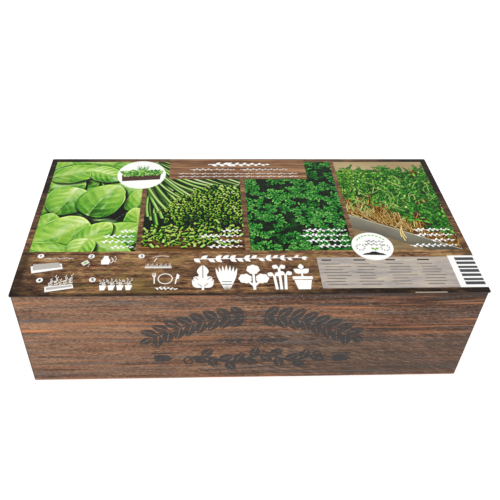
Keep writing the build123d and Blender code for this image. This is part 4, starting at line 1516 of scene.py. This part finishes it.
def makePacket(herb, seed, material):
    low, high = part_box(herb + "_seed_packet")
    width, depth = (high.x - low.x) / mm, (high.y - low.y) / mm
    picture = newPicture((0, 0), (width, depth), packet["pitch"], packet["paper"])
    a, b = picture["u"], picture["v"]
    panel = np.maximum(np.abs(a - width / 2) - (width / 2 - packet["panelMargin"]),
                       np.abs(b - packet["panelMiddle"]) - packet["panelHalf"])
    paintAll(picture, fade(panel, 1.4, 0.9), packet["frame"])
    paintAll(picture, fade(panel, 0.3, -0.2), packet["panel"])
    packetHerb(picture, herb, np.random.default_rng(seed))
    foldLine = depth - packet["flap"]
    onFlap = fade(b, foldLine - 0.2, foldLine + 0.2)
    paintAll(picture, onFlap, packet["flaps"][herb])
    edge = fromEdge(a, b, width, depth)
    seamLine = np.exp(-((edge - packet["seam"] + 0.6) / 0.35) ** 2) * (1 - onFlap)
    paintAll(picture, 0.25 * seamLine, packet["crimp"])
    # the belly of seed, single seeds that show, soft creases and the crimped seam
    swell = fade(edge, packet["seam"] - 1, 18) * packet["belly"]
    seeds = 0.16 * valueNoise(a / 1.6, b / 1.6, seed, 2) * fade(b, 44, 24) * fade(edge, 9, 13)
    crease = 0.14 * (valueNoise(a / 9 + b / 25, b / 16, seed + 3, 2) - 0.5) * fade(edge, 4, 12)
    crimp = 0.05 * np.sin(2 * math.pi * edge / 1.2) * fade(edge, packet["seam"] - 1.2, packet["seam"] - 1.8)
    top = packet["sheet"] + packet["flapStep"] * onFlap + swell * (1 - 0.35 * onFlap)
    top += seeds + crease + crimp
    heights = low.z + np.clip(top, 0.2, (high.z - low.z) / mm) * mm
    # clipped corners pull the outermost points in along the diagonal
    aside, ahead = a - width / 2, b - depth / 2
    over = np.clip(np.abs(aside) - width / 2 + np.abs(ahead) - depth / 2 + packet["clipped"], 0, None) / 2
    x = (low.x + high.x) / 2 + (aside - np.sign(aside) * over) * mm
    y = (low.y + high.y) / 2 + (ahead - np.sign(ahead) * over) * mm
    mesh, ring = reliefBlock(herb + "_kraft_packet", x, y, heights, low.z)
    mesh.shade_smooth()
    colours = toLinear(np.clip(picture["colour"].reshape(-1, 3), 0, 1))
    sides = np.ones((len(ring), 3)) * toLinear(hexColour(packet["paper"]))
    colourMesh(mesh, np.concatenate([colours, sides]))
    finishPiece(mesh, herb + "_packet", "packet_paper", material, herb + "_seed_packet")


print("seed packets")
kraft = glazedKraft()
for index, herb in enumerate(herbs):
    makePacket(herb, 500 + 10 * index, kraft)


# Floor, lamps and the camera, which stands where the photograph was taken from
view = {
    "yaw": 3.113, "pitch": 40.482, "roll": 1.726,  # degrees
    "place": (-0.0316, -0.3392, 0.3598),
    "focalPixels": 609.7, "axisPixel": (227.7, 234.8), "picturePixels": 500,
    "floorReach": 6.0, "floorGlow": 0.35, "skyStrength": 0.8,
    "lamps": {"keyLamp": ((-0.7, -0.9, 1.3), 7.0), "fillLamp": ((0.9, -0.7, 0.7), 3.0)},  # place and watts
    "lampSize": 0.9, "lampTarget": (0, 0, 0.05),
}


def makeCamera():
    yaw, pitch, roll = (math.radians(view[key]) for key in ("yaw", "pitch", "roll"))
    ahead = Vector((math.sin(yaw) * math.cos(pitch), math.cos(yaw) * math.cos(pitch), -math.sin(pitch)))
    level = Vector((math.cos(yaw), -math.sin(yaw), 0))
    upright = level.cross(ahead)
    right = math.cos(roll) * level + math.sin(roll) * upright
    up = -math.sin(roll) * level + math.cos(roll) * upright
    data = bpy.data.cameras.new("camera")
    data.sensor_width = 36
    data.lens = view["focalPixels"] / view["picturePixels"] * data.sensor_width
    half = view["picturePixels"] / 2
    data.shift_x = (half - view["axisPixel"][0]) / view["picturePixels"]
    data.shift_y = (view["axisPixel"][1] - half) / view["picturePixels"]
    data.clip_start = 0.01
    camera = bpy.data.objects.new("camera", data)
    turn = Matrix((right, up, -ahead)).transposed()
    camera.matrix_world = Matrix.Translation(view["place"]) @ turn.to_4x4()
    bpy.context.scene.collection.objects.link(camera)
    bpy.context.scene.camera = camera


def addLamp(name, place, power):
    data = bpy.data.lights.new(name, "AREA")
    data.size = view["lampSize"]
    data.energy = power
    lamp = bpy.data.objects.new(name, data)
    lamp.location = place
    lamp.rotation_euler = (Vector(view["lampTarget"]) - Vector(place)).to_track_quat("-Z", "Y").to_euler()
    bpy.context.scene.collection.objects.link(lamp)


# The camera and mirroring faces see the second shader, all other light the first
def whiteToCamera(tree, shader, white, output):
    path = addNode(tree, "LightPath").outputs
    seen = addNode(tree, "Math", path["Is Camera Ray"], path["Is Glossy Ray"], operation="MAXIMUM")
    pick = addNode(tree, "MixShader", seen, shader, white)
    tree.links.new(pick.outputs[0], output.inputs["Surface"])


# Pale paper floor: matt white, lifted for the camera so that only the shadow shows on it
def makeStage():
    mesh = bpy.data.meshes.new("floor")
    far = view["floorReach"]
    mesh.from_pydata([(-far, -far, 0), (far, -far, 0), (far, far, 0), (-far, far, 0)], [], [(0, 1, 2, 3)])
    floor = bpy.data.objects.new("floor", mesh)
    bpy.context.scene.collection.objects.link(floor)
    material, tree = newMaterial("palePaper", {"Base Color": linear("#F4F4F4"), "Roughness": 0.9})[:2]
    shader = tree.nodes["Principled BSDF"]
    glow = addNode(tree, "Emission", Color="#FFFFFF", Strength=view["floorGlow"])
    whiteToCamera(tree, shader, addNode(tree, "AddShader", shader, glow), tree.nodes["Material Output"])
    mesh.materials.append(material)
    world = bpy.data.worlds.new("studio")
    world.use_nodes = True
    bpy.context.scene.world = world
    tree = world.node_tree
    backdrop = tree.nodes["Background"]
    backdrop.inputs["Color"].default_value = linear("#FFFFFF")
    backdrop.inputs["Strength"].default_value = view["skyStrength"]
    plain = addNode(tree, "Background", Color="#FFFFFF", Strength=1.0)
    whiteToCamera(tree, backdrop, plain, tree.nodes["World Output"])
    for name, (place, power) in view["lamps"].items():
        addLamp(name, place, power)
    bpy.context.scene.view_settings.view_transform = "Standard"


print("stage and camera")
makeStage()
makeCamera()
